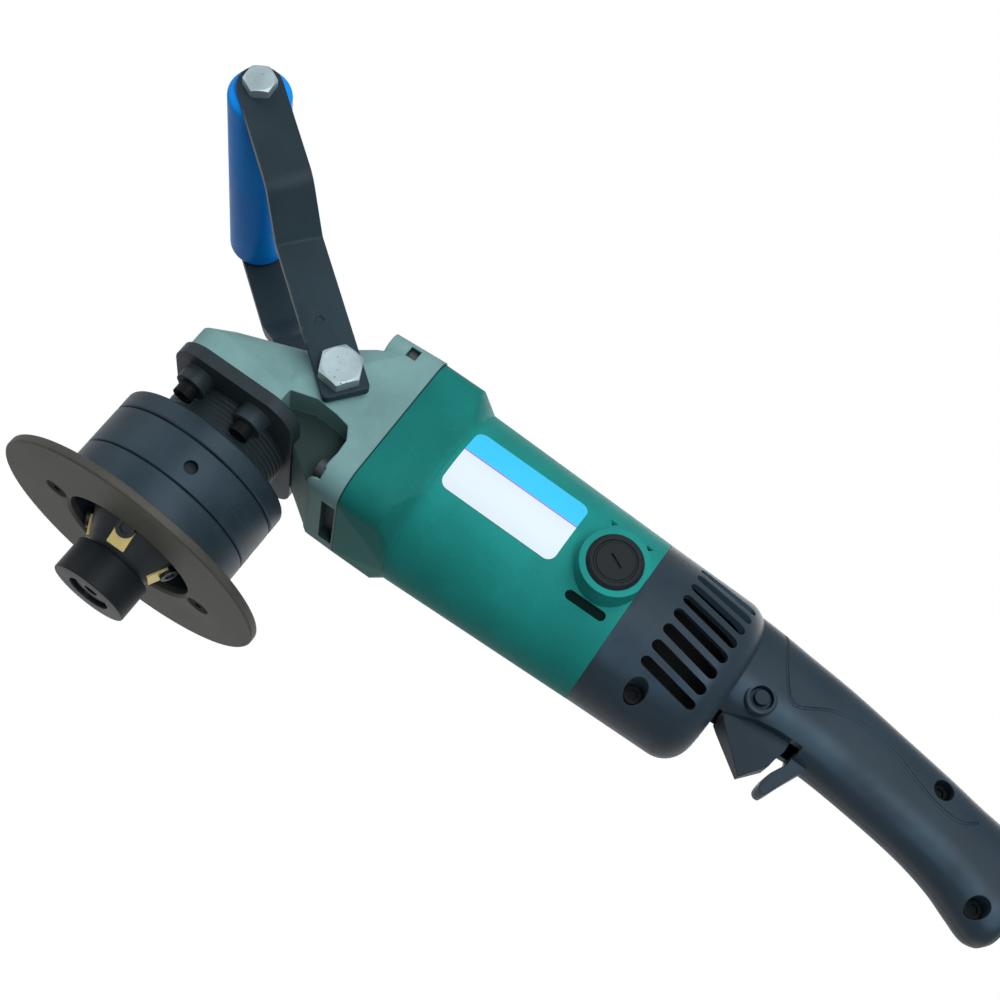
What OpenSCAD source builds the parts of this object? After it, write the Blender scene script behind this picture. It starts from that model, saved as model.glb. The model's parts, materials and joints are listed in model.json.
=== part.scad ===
// Hand-held beveling machine with an insert cutter, a pilot roller and a guide plate.
// The spindle stands along Z with the cutter down, the motor and rear handle run along +X,
// and the origin is the centre of the pilot roller's lower end.

/* [Pilot roller and cutter] */
// Radius of the pilot roller that follows the edge of the work
pilot_r = 17.5; // [15:0.5:20]
// Height of the pilot roller
pilot_h = 15.7; // [13:0.1:17]
// Outer radius of the pilot roller's ball bearing
pilot_bearing_r = 11; // [9:0.5:12]
// Width of the pilot roller's ball bearing
pilot_bearing_w = 6; // [5:0.5:7]
// Height of the pilot bearing above the roller's lower end
pilot_bearing_z = 6; // [5:0.5:7]
// Radius of the shoulder screw that carries the pilot bearing
pilot_pin_r = 5; // [4:0.5:6]
// Bevel angle of the cutter, measured from the spindle axis
bevel_angle = 28; // [20:1:35]
// Number of cutting inserts
insert_count = 4; // [2:1:4]
// Length of an insert along the bevel
insert_len = 9.6; // [8:0.1:11]
// Width of an insert
insert_w = 8.5; // [7:0.1:10]
// Thickness of an insert
insert_t = 2.8; // [2:0.1:3.5]
// Distance of an insert's lower edge from the spindle axis
insert_r = 15.8; // [14:0.1:17]
// Height of an insert's lower edge above the top of the pilot roller
insert_rise = 2.7; // [2:0.1:4]
// Height of the cutter head's body
cutter_h = 26; // [24:0.5:30]
// Radius of the insert clamp screws' heads
clamp_head_r = 4.2; // [3:0.1:5]

/* [Guide plate and depth rings] */
// Height of the guide plate's lower face above the pilot roller's lower end
plate_z = 25; // [24:0.5:28]
// Radius of the guide plate
plate_r = 64; // [55:0.5:75]
// Thickness of the guide plate
plate_t = 4.2; // [4:0.1:6]
// Radius of the opening in the guide plate
opening_r = 30.5; // [28:0.5:33]
// Outer radius of the guide sleeve and the two rings
ring_r = 41; // [40:0.5:46]
// Height of the guide sleeve
sleeve_h = 18.7; // [16:0.1:22]
// Height of the adjusting ring
adjust_h = 18.7; // [16:0.1:22]
// Height of the lock ring
lock_h = 9.4; // [7:0.1:12]
// Number of spanner holes in the adjusting ring
spanner_holes = 4; // [2:1:6]
// Radius of a spanner hole
spanner_r = 3; // [2:0.1:4]
// Height of the sleeve's threaded spigot inside the adjusting ring
spigot_h = 10; // [8:0.5:14]
// Head radius of the guide plate's countersunk screws
plate_screw_head_r = 5.5; // [4.5:0.1:6]
// Angle of the guide plate's screws around the spindle
plate_screw_angle = 17; // [0:1:40]
// Distance that the guide plate can be lowered
guide_travel = 6; // [2:0.5:8]

/* [Bearing box] */
// Radius of the threaded neck
neck_r = 28; // [27.5:0.1:28.5]
// Pitch of the neck's thread
thread_pitch = 2; // [1.5:0.25:3]
// Length of thread that shows above the lock ring
neck_shown = 18; // [15:0.5:24]
// Thickness of the bearing box flange
flange_t = 6; // [5:0.5:8]
// Distance from the spindle axis to the flange's front
flange_front = 28.7; // [28:0.1:32]
// Distance from the spindle axis to the flange's rear
flange_rear = 31; // [29:0.5:33]
// Half of the flange's width
flange_half_w = 45.5; // [44:0.5:48]
// Radius of the front corners of the flange
flange_front_r = 14; // [10:0.5:16]
// Radius of the rear corners of the flange
flange_rear_r = 14; // [10:0.5:16]
// Radius of the flange screws' heads
flange_screw_head_r = 4.5; // [4:0.1:5]
// Outer radius of the spindle bearings
spindle_bearing_r = 20; // [18:0.5:22]
// Width of the spindle bearings
spindle_bearing_w = 12; // [10:0.5:14]
// Radius of the spindle
spindle_r = 8.5; // [7:0.1:9]

/* [Gear head] */
// Height of the motor axis above the bearing box
head_rise = 22.4; // [21.4:0.1:24.4]
// Number of teeth on the pinion
pinion_teeth = 12; // [10:1:14]
// Number of crown gear teeth for each pinion tooth
gear_ratio = 3; // [3:1:3]
// Pitch radius of the pinion
pinion_pitch_r = 6; // [5.6:0.1:6.2]
// Width of the gear teeth
gear_face_w = 4.8; // [4:0.1:5]
// Outer radius of the front motor bearing
front_bearing_r = 17.5; // [16:0.5:19]
// Width of the front motor bearing
front_bearing_w = 11; // [9:0.5:12]

/* [Motor] */
// Distance from the spindle axis to the seam between gear head and motor
motor_x = 62.5; // [60:0.5:70]
// Length of the motor housing
motor_len = 121; // [118:0.5:130]
// Radius of the motor housing at its front
motor_front_r = 42.2; // [41.5:0.1:43]
// Radius of the motor housing at its rear
motor_rear_r = 39.5; // [39:0.1:41.4]
// Bore radius of the motor housing
motor_bore_r = 36; // [35:0.1:36.5]
// Half of the width of the square front block
block_half = 39.2; // [38:0.1:41]
// Length of the square front block
block_len = 20; // [16:0.5:24]
// Radius of the block's upper corners
block_top_r = 11; // [8:0.5:12]
// Radius of the block's lower corners
block_low_r = 14; // [10:0.5:16]
// Distance of the block's screws from the motor axis, along Y and Z
block_screw = 31.5; // [30.5:0.1:32]
// Distance from the motor's rear end to the brush axis
brush_back = 14.2; // [13:0.1:16]
// Radius of the brush cap
brush_cap_r = 11.9; // [10:0.1:12.5]
// Radius of the brush boss
brush_boss_r = 14.7; // [14:0.1:18]
// Distance of the brush boss face from the motor axis
brush_boss_y = 50.5; // [48:0.5:52]
// Radius of the armature core
armature_r = 24.5; // [22:0.1:24.7]
// Length of the armature core
armature_len = 56; // [50:1:58]
// Radius of the commutator
commutator_r = 14; // [12:0.5:15]
// Radius of the armature shaft in the core
shaft_r = 7.5; // [6.5:0.1:8]
// Length of the rating label
label_len = 56; // [40:1:60]
// Height of the rating label
label_h = 31; // [20:0.5:34]

/* [Rear handle] */
// Length of the vented drum behind the motor
drum_len = 53.5; // [52:0.5:58]
// Wall of the handle shells
shell_wall = 3; // [2.5:0.1:3.5]
// Number of vent slots on each side
vent_count = 8; // [4:1:8]
// Length of a vent slot
vent_len = 29; // [20:0.5:32]
// Width of a vent slot
vent_w = 4.8; // [3:0.1:5.2]
// Radius of the shell screws' heads
shell_screw_head_r = 4; // [3:0.1:4.5]
// Half of the trigger's width
trigger_half_w = 9; // [7:0.5:9.5]
// Radius of the trigger's pivot pin
trigger_pin_r = 2; // [1.5:0.1:2.5]
// Radius of the lock button
button_r = 4.8; // [4:0.1:5]
// Distance that the lock button stands out of the shell
button_out = 3; // [2.8:0.1:4]
// Outer radius of the cord inlet bush
inlet_r = 9; // [8:0.1:10]
// Bore radius of the cord inlet bush
inlet_bore_r = 4.2; // [3:0.1:5]
// Length of the cord inlet bush
inlet_len = 24; // [20:1:30]

/* [Bail handle] */
// Distance from the spindle axis back to the bail's pivot bolts
pivot_x = 32.6; // [31:0.1:34]
// Height of the bail's pivot bolts above the motor axis
pivot_rise = 1.9; // [0:0.1:3]
// Half of the width across the pivot bosses
pivot_boss_y = 42; // [41:0.5:43]
// Distance from the pivot bolts to the grip axis
bail_len = 128.7; // [115:0.1:140]
// Angle of the bail arms from the motor axis, 90 is upright
bail_angle = 142.2; // [125:0.1:145]
// Width of an arm
arm_w = 20; // [18:0.5:24]
// Thickness of an arm
arm_t = 4.5; // [3.5:0.1:5]
// Distance along the arm from the pivot to the first bend
bend_start = 65; // [55:0.5:70]
// Length along the arm of the slanted part between the bends
bend_len = 18; // [15:0.5:24]
// Half of the length of the grip tube
grip_half = 62.3; // [58:0.1:68]
// Radius of the grip tube
grip_r = 14; // [12:0.1:16]
// Radius of the pivot bolts
pivot_r = 5; // [4:0.1:6]
// Radius of the grip's through rod
rod_r = 4; // [3:0.1:5]

/* [Hidden] */
$fn = 64;

// Clearances: a seat between fixed pieces, a running fit, and the gap between moving pieces
seat = 0.02;
run = 0.05;
gap = 0.3;
big = 200;

// Levels along the spindle
cutter_z = pilot_h + gap;
insert_z = pilot_h + insert_rise;
insert_proud = 0.6;
spindle_end_z = cutter_z + 3;
cutter_top = cutter_z + cutter_h;
spindle_seat_r = spindle_r - 0.5;
sleeve_z = plate_z + plate_t;
adjust_z = sleeve_z + sleeve_h + gap;
lock_z = adjust_z + adjust_h + gap;
lock_top = lock_z + lock_h;
flange_z = lock_top + neck_shown;
head_z = flange_z + flange_t;
motor_z = head_z + head_rise;
neck_z = sleeve_z + guide_travel + 1;
lower_bearing_z = cutter_top + 4;
upper_bearing_z = head_z - 1 - spindle_bearing_w;
spindle_shoulder_r = spindle_r + 3.5;
spigot_r = (ring_r + neck_r) / 2 - 0.5;
plate_screw_c = ring_r - 3.5;
sleeve_bore_r = opening_r + 0.5;
plate_screw_r = 2.4;
flange_screw_x = [13 - flange_front, flange_rear - 18];
flange_screw_y = flange_half_w - 14.5;
flange_screw_r = 3;
flange_boss_h = 7;
flange_boss_r = flange_screw_head_r + 2.5;

// Gear pair: the pinion lies on top of the crown gear, behind the spindle
crown_teeth = pinion_teeth * gear_ratio;
crown_pitch_r = pinion_pitch_r * gear_ratio;
crown_in = crown_pitch_r - gear_face_w / 2;
crown_out = crown_pitch_r + gear_face_w / 2;
tooth_pitch = 2 * PI * pinion_pitch_r / pinion_teeth;
tooth_w = tooth_pitch * 0.38;
mesh_z = motor_z - pinion_pitch_r;
tooth_up = 0.9;
tooth_down = 1.2;
crown_hub_z = upper_bearing_z + spindle_bearing_w + 1;
crown_disc_t = 6;
crown_z = mesh_z - tooth_down - crown_disc_t;
cavity_r = crown_out + 1.2;
pilot_lip_r = max(pilot_bearing_r - 1.4, pilot_pin_r + 3);
cavity_top = mesh_z + tooth_up + 1.2;
tunnel_r = pinion_pitch_r + tooth_up + 1.5;
tunnel_x = crown_in - 2;

// Places along the motor axis
motor_end = motor_x + motor_len;
taper_x = motor_x + block_len + 7;
brush_x = motor_end - brush_back;
block_face_x = motor_x - 14.5;
screw_seat_x = motor_x - 11;
// Hollow in each side of the gear housing behind the flange: place along the motor, height above the head's seat
scoop = [
    [20, 7.5], [31, 11.4], [41, 11], [47.5, 9.9], [51, 4.4], [51.5, -2.6], [50, -14], [30, -20], [20, -5]
];
shoulder_r = 8;
// Air outlet in the underside of the gear housing, just before the seam
outlet_len = 6.6;
outlet_half_w = 20;
outlet_depth = 4.5;
front_bearing_x = motor_x - front_bearing_w - 1;
// The commutator ends just before the housing's rear wall, with the brushes at its middle
rear_wall_t = 4;
commutator_clear = 0.2;
commutator_len = 2 * (brush_back - rear_wall_t - commutator_clear);
commutator_x = brush_x - commutator_len / 2;
// Length before the commutator that the core leaves to the fan and the winding ends: 1 at the drawn size
spare = (commutator_x - motor_x - armature_len) / 40.8;
fan_x = motor_x + 4 * spare;
fan_len = 16 * spare;
fan_r = motor_bore_r - 3;
core_x = motor_x + 31 * spare;
core_end = core_x + armature_len;
winding_len = 6 * spare;
core_slot_depth = 7;
core_slot_w = 3;
stator_r = motor_bore_r - seat;
stator_in_r = armature_r + 0.7;
coil_len = 7 * spare;
rear_hub_r = 18;
rear_bearing_r = 14;
rear_bearing_w = 8;
rear_bearing_x = motor_end + 0.5;
rear_shaft_r = shaft_r - 1.5;
block_screw_r = 2.5;
block_screw_head_r = 4.3;
brush_w = 6;
brush_l = 10;
holder_r = 8;
cap_t = 5;
cap_proud = 1.5;
label_back = 6.6;
label_x = brush_x - brush_boss_r - label_back - label_len;
label_t = 0.35;
label_low = -11.5;
label_corner = 4;

// Rear handle stations: distance behind the motor, axis height above the motor axis, half height, half width
drum_r = motor_rear_r - 0.1;
drum_end_r = drum_r - 0.8;
drum_round = 13;
drum_end = motor_end + drum_len;
handle_stations = [
    [43, 12.4, 23.8, 24], [57, 12.4, 23.4, 22.5], [75, 12.2, 22.2, 20.5], [97, 11.7, 20.9, 18.5],
    [123, 8.8, 20.2, 17.5], [150, 4.9, 20, 17.5], [167, 1.2, 20.6, 18], [179, -2.1, 22.3, 18.5],
    [188, -4.6, 23.2, 19], [194, -5, 22, 18], [196.7, -5, 19.5, 15.5]
];
handle_end = motor_end + handle_stations[10][0];
section_power = 2.5;
vent_x = motor_end + 16;
vent_step = 11.7;
vent_top = 51;
vent_twist = 9;
pivot_trigger = [motor_end + 59.5, motor_z - 6.5];
trigger_top = motor_z - 2;
trigger_rear = motor_end + 86;
spur_x = trigger_rear + 4.3;
spur_half_w = 6;
// Lower end of the trigger's slot, below the motor axis
slot_low = 11.4;
button_c = [motor_end + 65.5, motor_z + 0.3];
button_in = trigger_half_w + 3.3;
button_face = 18.5 + button_out;
switch_half_w = 14;
switch_z = motor_z + 4;
switch_h = 18;
switch_x = motor_end + 70;
switch_len = 28;
plunger_r = 2.5;
inlet_z = motor_z - 5.5;
shell_screw_r = 2;
shell_screws = [[motor_end + 21.5, -30, 17], [motor_end + 147.8, 14.4, 8], [motor_end + 182.2, -18.7, 8]];
shell_boss_r = 6.5;

// Bail handle
pivot_z = motor_z + pivot_rise;
arm_in_y = pivot_boss_y + gap;
arm_step = grip_half - arm_in_y;
pivot_head_af = 3.4 * pivot_r;
pivot_head_h = 1.3 * pivot_r;
pivot_depth = 12;
rod_head_af = 3.25 * rod_r;
rod_head_h = 1.3 * rod_r;

// Turns a piece drawn along Z so that it runs along X from the motor axis
module along_motor(x) {
    translate([x, 0, motor_z])
        rotate([0, 90, 0])
            children();
}

// Places a piece drawn along Z so that it points out along -Y or +Y
module along_y(x, z, side) {
    translate([x, 0, z])
        rotate([side > 0 ? -90 : 90, 0, 0])
            children();
}

// Repeats a piece on the near side and, mirrored, on the far side
module both_sides() {
    children();
    mirror([0, 1, 0])
        children();
}

// Plain ring between two radii
module ring(r_in, r_out, h) {
    difference() {
        cylinder(r = r_out, h = h);
        translate([0, 0, -1])
            cylinder(r = r_in, h = h + 2);
    }
}

// Ring with chamfered outer edges
module chamfered_ring(r_in, r_out, h, c) {
    rotate_extrude()
        polygon([[r_in, 0], [r_out - c, 0], [r_out, c], [r_out, h - c], [r_out - c, h], [r_in, h]]);
}

// Ball bearing with sunk shields between its two races
module ball_bearing(r_in, r_out, w) {
    race = (r_out - r_in) * 0.28;
    difference() {
        ring(r_in, r_out, w);
        for (z = [-1, w - 0.6])
            translate([0, 0, z])
                ring(r_in + race, r_out - race, 1.6);
    }
}

// Plate with corner radii of its own at the front and at the rear
module corner_plate(x0, x1, half_w, r0, r1, h) {
    linear_extrude(height = h)
        polygon([
            [x0 + r0, -half_w], [x1 - r1, -half_w], [x1, r1 - half_w], [x1, half_w - r1],
            [x1 - r1, half_w], [x0 + r0, half_w], [x0, half_w - r0], [x0, r0 - half_w]
        ]);
    for (y = [-1, 1]) {
        translate([x0 + r0, y * (half_w - r0), 0])
            cylinder(r = r0, h = h);
        translate([x1 - r1, y * (half_w - r1), 0])
            cylinder(r = r1, h = h);
    }
}

// Hexagon prism of a given width across flats
module hex(af, h) {
    cylinder(r = af / sqrt(3), h = h, $fn = 6);
}

// Cap screw with its head above z = 0, a hexagon socket and its shank below
module cap_screw(head_r, head_h, shank_r, len) {
    difference() {
        cylinder(r = head_r, h = head_h);
        translate([0, 0, head_h * 0.45])
            hex(head_r * 1.05, head_h);
    }
    translate([0, 0, -len])
        cylinder(r = shank_r, h = len + 0.1);
}

// Square block around the motor axis, from x0 over a length
module motor_block(x0, len, half, r_top, r_low) {
    translate([x0, 0, motor_z])
        rotate([0, 90, 0])
            corner_plate(-half, half, half, r_top, r_low, len);
}

// Places a piece at each of the four block screws, pointing along +X
module at_block_screws(x) {
    for (y = [-1, 1], z = [-1, 1])
        translate([x, y * block_screw, motor_z + z * block_screw])
            rotate([0, 90, 0])
                children();
}

// Places a piece at each of the four flange screws
module at_flange_screws(z) {
    for (x = flange_screw_x, y = [-1, 1])
        translate([x, y * flange_screw_y, z])
            children();
}

// Places a piece in the frame of each insert: X out of its face, Z up along the bevel
module at_inserts() {
    for (i = [0 : insert_count - 1])
        rotate([0, 0, -90 + i * 360 / insert_count])
            translate([insert_r, 0, insert_z])
                rotate([0, bevel_angle, 0])
                    children();
}

module head_front_ball(side) {
    translate([12.1 - flange_front, side * 13, head_z + 16.7])
        sphere(r = 10, $fn = 32);
}

module head_top_ball(side) {
    translate([pivot_x - 18, side * 19, motor_z + 1])
        sphere(r = 12, $fn = 32);
}

module head_skirt() {
    for (y = [-1, 1]) {
        translate([1 - flange_front + flange_front_r, y * (flange_half_w - 1.5 - flange_front_r), head_z + seat])
            cylinder(r = flange_front_r, h = 10, $fn = 32);
        translate([flange_rear - 1 - flange_rear_r, y * (flange_half_w - 3.5 - flange_rear_r), head_z + seat])
            cylinder(r = flange_rear_r, h = 6, $fn = 32);
    }
}

// The front of the square block, a little lower than its seam
module head_front_block() {
    translate([0, 0, -0.8])
        motor_block(block_face_x, 1, block_half - 0.8, block_top_r, block_low_r);
}

module gear_housing() {
    color("#8FA3A3")
        difference() {
            union() {
                hull() {
                    head_skirt();
                    head_front_ball(-1);
                    head_front_ball(1);
                    head_top_ball(-1);
                    head_top_ball(1);
                }
                hull() {
                    head_top_ball(-1);
                    head_top_ball(1);
                    for (y = [-1, 1])
                        translate([flange_rear - 1 - shoulder_r, y * (pivot_boss_y - 1.2 - shoulder_r), head_z + 7])
                            cylinder(r = shoulder_r, h = 8, $fn = 32);
                    head_front_block();
                }
                hull() {
                    head_front_block();
                    motor_block(motor_x - 1, 1, block_half, block_top_r, block_low_r);
                }
                for (y = [-1, 1])
                    translate([block_face_x - 10, y * block_screw, motor_z + block_screw])
                        rotate([0, 90, 0])
                            cylinder(r1 = block_screw_head_r + 1.5, r2 = block_screw_head_r + 3,
                                h = motor_x - block_face_x + 10);
                along_y(pivot_x, pivot_z, -1)
                    translate([0, 0, -pivot_boss_y])
                        cylinder(r = arm_w / 2 - 0.5, h = 2 * pivot_boss_y);
            }
            translate([-big, -big, head_z + seat - big])
                cube([big + flange_rear + gap, 2 * big, big]);
            translate([0, 0, head_z - 1])
                cylinder(r = cavity_r, h = cavity_top - head_z + 1);
            along_motor(tunnel_x)
                cylinder(r = tunnel_r, h = motor_x);
            along_motor(front_bearing_x)
                cylinder(r = front_bearing_r + seat, h = motor_x);
            at_block_screws(block_face_x - 1)
                cylinder(r = block_screw_r + seat, h = motor_x);
            at_block_screws(screw_seat_x - 20)
                cylinder(r = block_screw_head_r + 0.8, h = 20);
            at_flange_screws(head_z - 1)
                cylinder(r = flange_screw_r + seat, h = 9);
            translate([motor_x - outlet_len - 1, -outlet_half_w, motor_z - block_half - 1])
                cube([outlet_len, 2 * outlet_half_w, outlet_depth + 1]);
            both_sides() {
                along_y(pivot_x, pivot_z, -1)
                    translate([0, 0, pivot_boss_y - pivot_depth])
                        cylinder(r = pivot_r + seat, h = pivot_depth + 1);
                translate([0, -cavity_r - 2, head_z])
                    rotate([90, 0, 0])
                        linear_extrude(height = big)
                            polygon(scoop);
                translate([screw_seat_x - 4.6, -block_screw - big, motor_z + block_screw - 2.8])
                    cube([4.9, big, 5.6]);
            }
        }
}

module bearing_box() {
    turns = floor((flange_z - neck_z) / thread_pitch);
    depth = 0.7;
    color("#23272B")
        difference() {
            union() {
                translate([0, 0, flange_z])
                    corner_plate(-flange_front, flange_rear, flange_half_w, flange_front_r, flange_rear_r, flange_t);
                at_flange_screws(flange_z - flange_boss_h)
                    cylinder(r = flange_boss_r, h = flange_boss_h);
                rotate_extrude()
                    polygon(concat(
                        [[0, flange_z], [0, neck_z]],
                        [for (i = [0 : turns - 1], k = [0, 1])
                            [neck_r - (k == 0 ? depth : 0), neck_z + (i + k / 2) * thread_pitch]],
                        [[neck_r - depth, flange_z]]
                    ));
            }
            translate([0, 0, neck_z - 1])
                cylinder(r = neck_r - 4.5, h = lower_bearing_z - neck_z + 1);
            translate([0, 0, lower_bearing_z - 1])
                cylinder(r = spindle_bearing_r + seat, h = spindle_bearing_w + 1);
            translate([0, 0, lower_bearing_z])
                cylinder(r = spindle_bearing_r - 4, h = head_z);
            translate([0, 0, upper_bearing_z])
                cylinder(r = spindle_bearing_r + seat, h = head_z);
            at_flange_screws(flange_z - flange_boss_h - 1)
                cylinder(r = flange_screw_r + seat, h = big);
        }
}

module bearing_box_screws() {
    color("#3A3F44")
        at_flange_screws(flange_z - flange_boss_h)
            mirror([0, 0, 1])
                cap_screw(flange_screw_head_r, 5.5, flange_screw_r, flange_boss_h + flange_t + 6);
}

module upper_spindle_bearing() {
    color("#B8BDC2")
        translate([0, 0, upper_bearing_z])
            ball_bearing(spindle_r + run, spindle_bearing_r, spindle_bearing_w);
}

module lower_spindle_bearing() {
    color("#B8BDC2")
        translate([0, 0, lower_bearing_z])
            ball_bearing(spindle_r + run, spindle_bearing_r, spindle_bearing_w);
}

module motor_skin(extra) {
    along_motor(taper_x)
        cylinder(r1 = motor_front_r + extra, r2 = motor_rear_r + extra, h = motor_end - taper_x);
}

module motor_housing() {
    color("#1F6B62")
        difference() {
            union() {
                hull() {
                    motor_block(motor_x, block_len, block_half, block_top_r, block_low_r);
                    along_motor(taper_x)
                        cylinder(r = motor_front_r - 0.6, h = 1);
                }
                motor_skin(0);
                along_motor(motor_end - rear_wall_t)
                    cylinder(r = rear_hub_r, h = rear_wall_t + rear_bearing_w + 0.5);
                both_sides()
                    intersection() {
                        along_y(brush_x, motor_z, -1)
                            translate([0, 0, brush_boss_y - 17])
                                cylinder(r = brush_boss_r, h = 17);
                        translate([motor_x, -big, 0])
                            cube([motor_len - 0.1, big, 2 * big]);
                    }
            }
            along_motor(motor_x - 1)
                cylinder(r = motor_bore_r, h = motor_len + 1 - rear_wall_t);
            both_sides() {
                along_y(brush_x, motor_z, -1)
                    cylinder(r = holder_r + seat, h = big);
                along_y(brush_x, motor_z, -1)
                    translate([0, 0, brush_boss_y + cap_proud - cap_t])
                        cylinder(r = brush_cap_r + seat, h = big);
                translate([0, 0, motor_z])
                    rotate([25, 0, 0])
                        hull()
                            for (x = [brush_x - 7.7, brush_x + 7.1])
                                translate([x, 2.6 - motor_rear_r, 0])
                                    rotate([90, 0, 0])
                                        cylinder(r = 2.1, h = big, $fn = 32);
                translate([0, 0, motor_z])
                    rotate([-32, 0, 0])
                        for (x = [brush_x - 10.4, brush_x + 7.6])
                            translate([x, 1.4 - motor_rear_r, 0])
                                rotate([90, 0, 0])
                                    rotate([0, 0, -90])
                                        cylinder(r = 2.4, h = big, $fn = 3);
            }
            at_block_screws(motor_x - 1)
                cylinder(r = block_screw_r + seat, h = block_len + 1);
            along_motor(motor_end - rear_wall_t - 1)
                for (a = [30 : 60 : 330])
                    rotate([0, 0, a])
                        translate([(motor_bore_r + rear_hub_r) / 2, 0, 0])
                            cylinder(r = (motor_bore_r - rear_hub_r) / 2 - 1, h = rear_wall_t + 2);
            along_motor(motor_end - rear_wall_t - 1)
                cylinder(r = shaft_r + 2, h = rear_wall_t + 2);
            along_motor(rear_bearing_x - seat)
                cylinder(r = rear_bearing_r + seat, h = rear_bearing_w + 1);
        }
}

module gear_housing_screws() {
    color("#9AA0A6")
        at_block_screws(screw_seat_x)
            mirror([0, 0, 1])
                cap_screw(block_screw_head_r, 4, block_screw_r, motor_x - screw_seat_x + block_len - 1);
}

module front_motor_bearing() {
    color("#B8BDC2")
        along_motor(front_bearing_x)
            ball_bearing(shaft_r + run, front_bearing_r, front_bearing_w);
}

module rear_motor_bearing() {
    color("#B8BDC2")
        along_motor(rear_bearing_x)
            ball_bearing(rear_shaft_r + run, rear_bearing_r, rear_bearing_w);
}

module stator_core() {
    color("#6B6F73")
        along_motor(core_x)
            ring(stator_in_r, stator_r, armature_len);
}

module field_coils() {
    color("#B4632D")
        for (x = [core_x - coil_len, core_end])
            along_motor(x)
                ring(stator_in_r + 2, stator_r - 2.5, coil_len);
}

module rating_label() {
    color("#E8F3FE")
        intersection() {
            difference() {
                motor_skin(label_t);
                motor_skin(seat);
            }
            translate([label_x, -motor_rear_r / 2, motor_z + label_low])
                rotate([90, 0, 0]) {
                    translate([label_corner, 0, 0])
                        cube([label_len - 2 * label_corner, label_h, big]);
                    translate([0, label_corner, 0])
                        cube([label_len, label_h - 2 * label_corner, big]);
                    for (x = [label_corner, label_len - label_corner], z = [label_corner, label_h - label_corner])
                        translate([x, z, 0])
                            cylinder(r = label_corner, h = big);
                }
        }
}

module brush_holders() {
    holder_len = brush_boss_y + cap_proud - cap_t - commutator_r - 2;
    color("#C8A24A")
        both_sides()
            along_y(brush_x, motor_z, -1)
                translate([0, 0, commutator_r + 2])
                    difference() {
                        cylinder(r = holder_r, h = holder_len);
                        translate([-brush_l / 2 - seat, -brush_w / 2 - seat, -1])
                            cube([brush_l + 2 * seat, brush_w + 2 * seat, holder_len + 2]);
                    }
}

module carbon_brushes() {
    color("#2E2E30")
        both_sides()
            along_y(brush_x, motor_z, -1)
                translate([-brush_l / 2, -brush_w / 2, commutator_r + gap])
                    cube([brush_l, brush_w, 17]);
}

module brush_springs() {
    spring_z = commutator_r + gap + 17;
    spring_len = brush_boss_y + cap_proud - cap_t - spring_z;
    color("#9AA0A6")
        both_sides()
            along_y(brush_x, motor_z, -1)
                translate([0, 0, spring_z])
                    ring(1.6, brush_w / 2 - 0.2, spring_len);
}

module brush_caps() {
    color("#202326")
        both_sides()
            along_y(brush_x, motor_z, -1)
                translate([0, 0, brush_boss_y + cap_proud - cap_t])
                    difference() {
                        cylinder(r = brush_cap_r, h = cap_t);
                        rotate([0, 0, 63])
                            translate([-0.7, -3.6, cap_t - 1.2])
                                cube([1.4, 7.2, 3]);
                    }
}

// One handle section as a flat rounded outline, shrunk by a wall
module handle_section(s, wall) {
    translate([motor_end + s[0], 0, motor_z + s[1]])
        rotate([90, 0, 90])
            linear_extrude(height = 0.2)
                polygon([for (a = [0 : 11.25 : 348.75]) [
                    (s[3] - wall) * sign(cos(a)) * pow(abs(cos(a)), 2 / section_power),
                    (s[2] - wall) * sign(sin(a)) * pow(abs(sin(a)), 2 / section_power)
                ]]);
}

// The handle as a chain of hulls through its stations
module handle_solid(wall) {
    last = len(handle_stations) - 1;
    for (i = [0 : last - 1])
        hull() {
            handle_section(handle_stations[i], wall);
            handle_section(handle_stations[i + 1], wall);
        }
}

// The drum that covers the rear of the motor, with a rounded rear edge
module drum_solid(wall) {
    r1 = drum_end_r - wall;
    along_motor(motor_end)
        rotate_extrude($fn = 72)
            polygon(concat(
                [[0, wall > 0 ? -1 : 0], [drum_r - wall, wall > 0 ? -1 : 0]],
                [for (a = [0 : 15 : 90])
                    [r1 - drum_round * (1 - cos(a)), drum_len - wall - drum_round * (1 - sin(a))]],
                [[0, drum_len - wall]]
            ));
}

// One slanted vent slot that starts at an angle above the side of the drum
module vent_slot(angle) {
    translate([vent_x, 0, motor_z])
        rotate([-angle, 0, 0])
            translate([0, -drum_r - 3, 0])
                rotate([0, vent_twist + 2, 0])
                    translate([0, 0, -vent_w / 2])
                        cube([vent_len, shell_wall + 8, vent_w]);
}

// Finger spur behind the trigger
module spur() {
    rotate([90, 0, 0])
        translate([0, 0, -spur_half_w])
            linear_extrude(height = 2 * spur_half_w)
                translate([spur_x, motor_z])
                    polygon([
                        [0, -2], [-0.4, -11], [-2.2, -15], [-4.4, -19.4], [-5.3, -24], [-5.2, -26.6], [-4, -28],
                        [-2.3, -28.3], [-0.8, -27], [2.7, -18.9], [6.5, -10.9], [9.6, -4], [9.6, -2]
                    ]);
}

// Room for the finger: the handle's underside is cut away from the drum to the spur
module trigger_throat() {
    rotate([90, 0, 0])
        translate([0, motor_z, -big / 2])
            linear_extrude(height = big)
                polygon([
                    [drum_end + 0.7, -70], [drum_end + 0.7, -11], [drum_end + 4, -10], [drum_end + 15, -6.4],
                    [drum_end + 25, -5], [spur_x + 0.3, -4.4], [spur_x + 0.3, -70]
                ]);
}

module shell_bosses() {
    for (s = shell_screws)
        translate([s[0], 0, motor_z + s[1]])
            rotate([90, 0, 0])
                cylinder(r = shell_boss_r, h = 80, center = true, $fn = 32);
}

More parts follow.
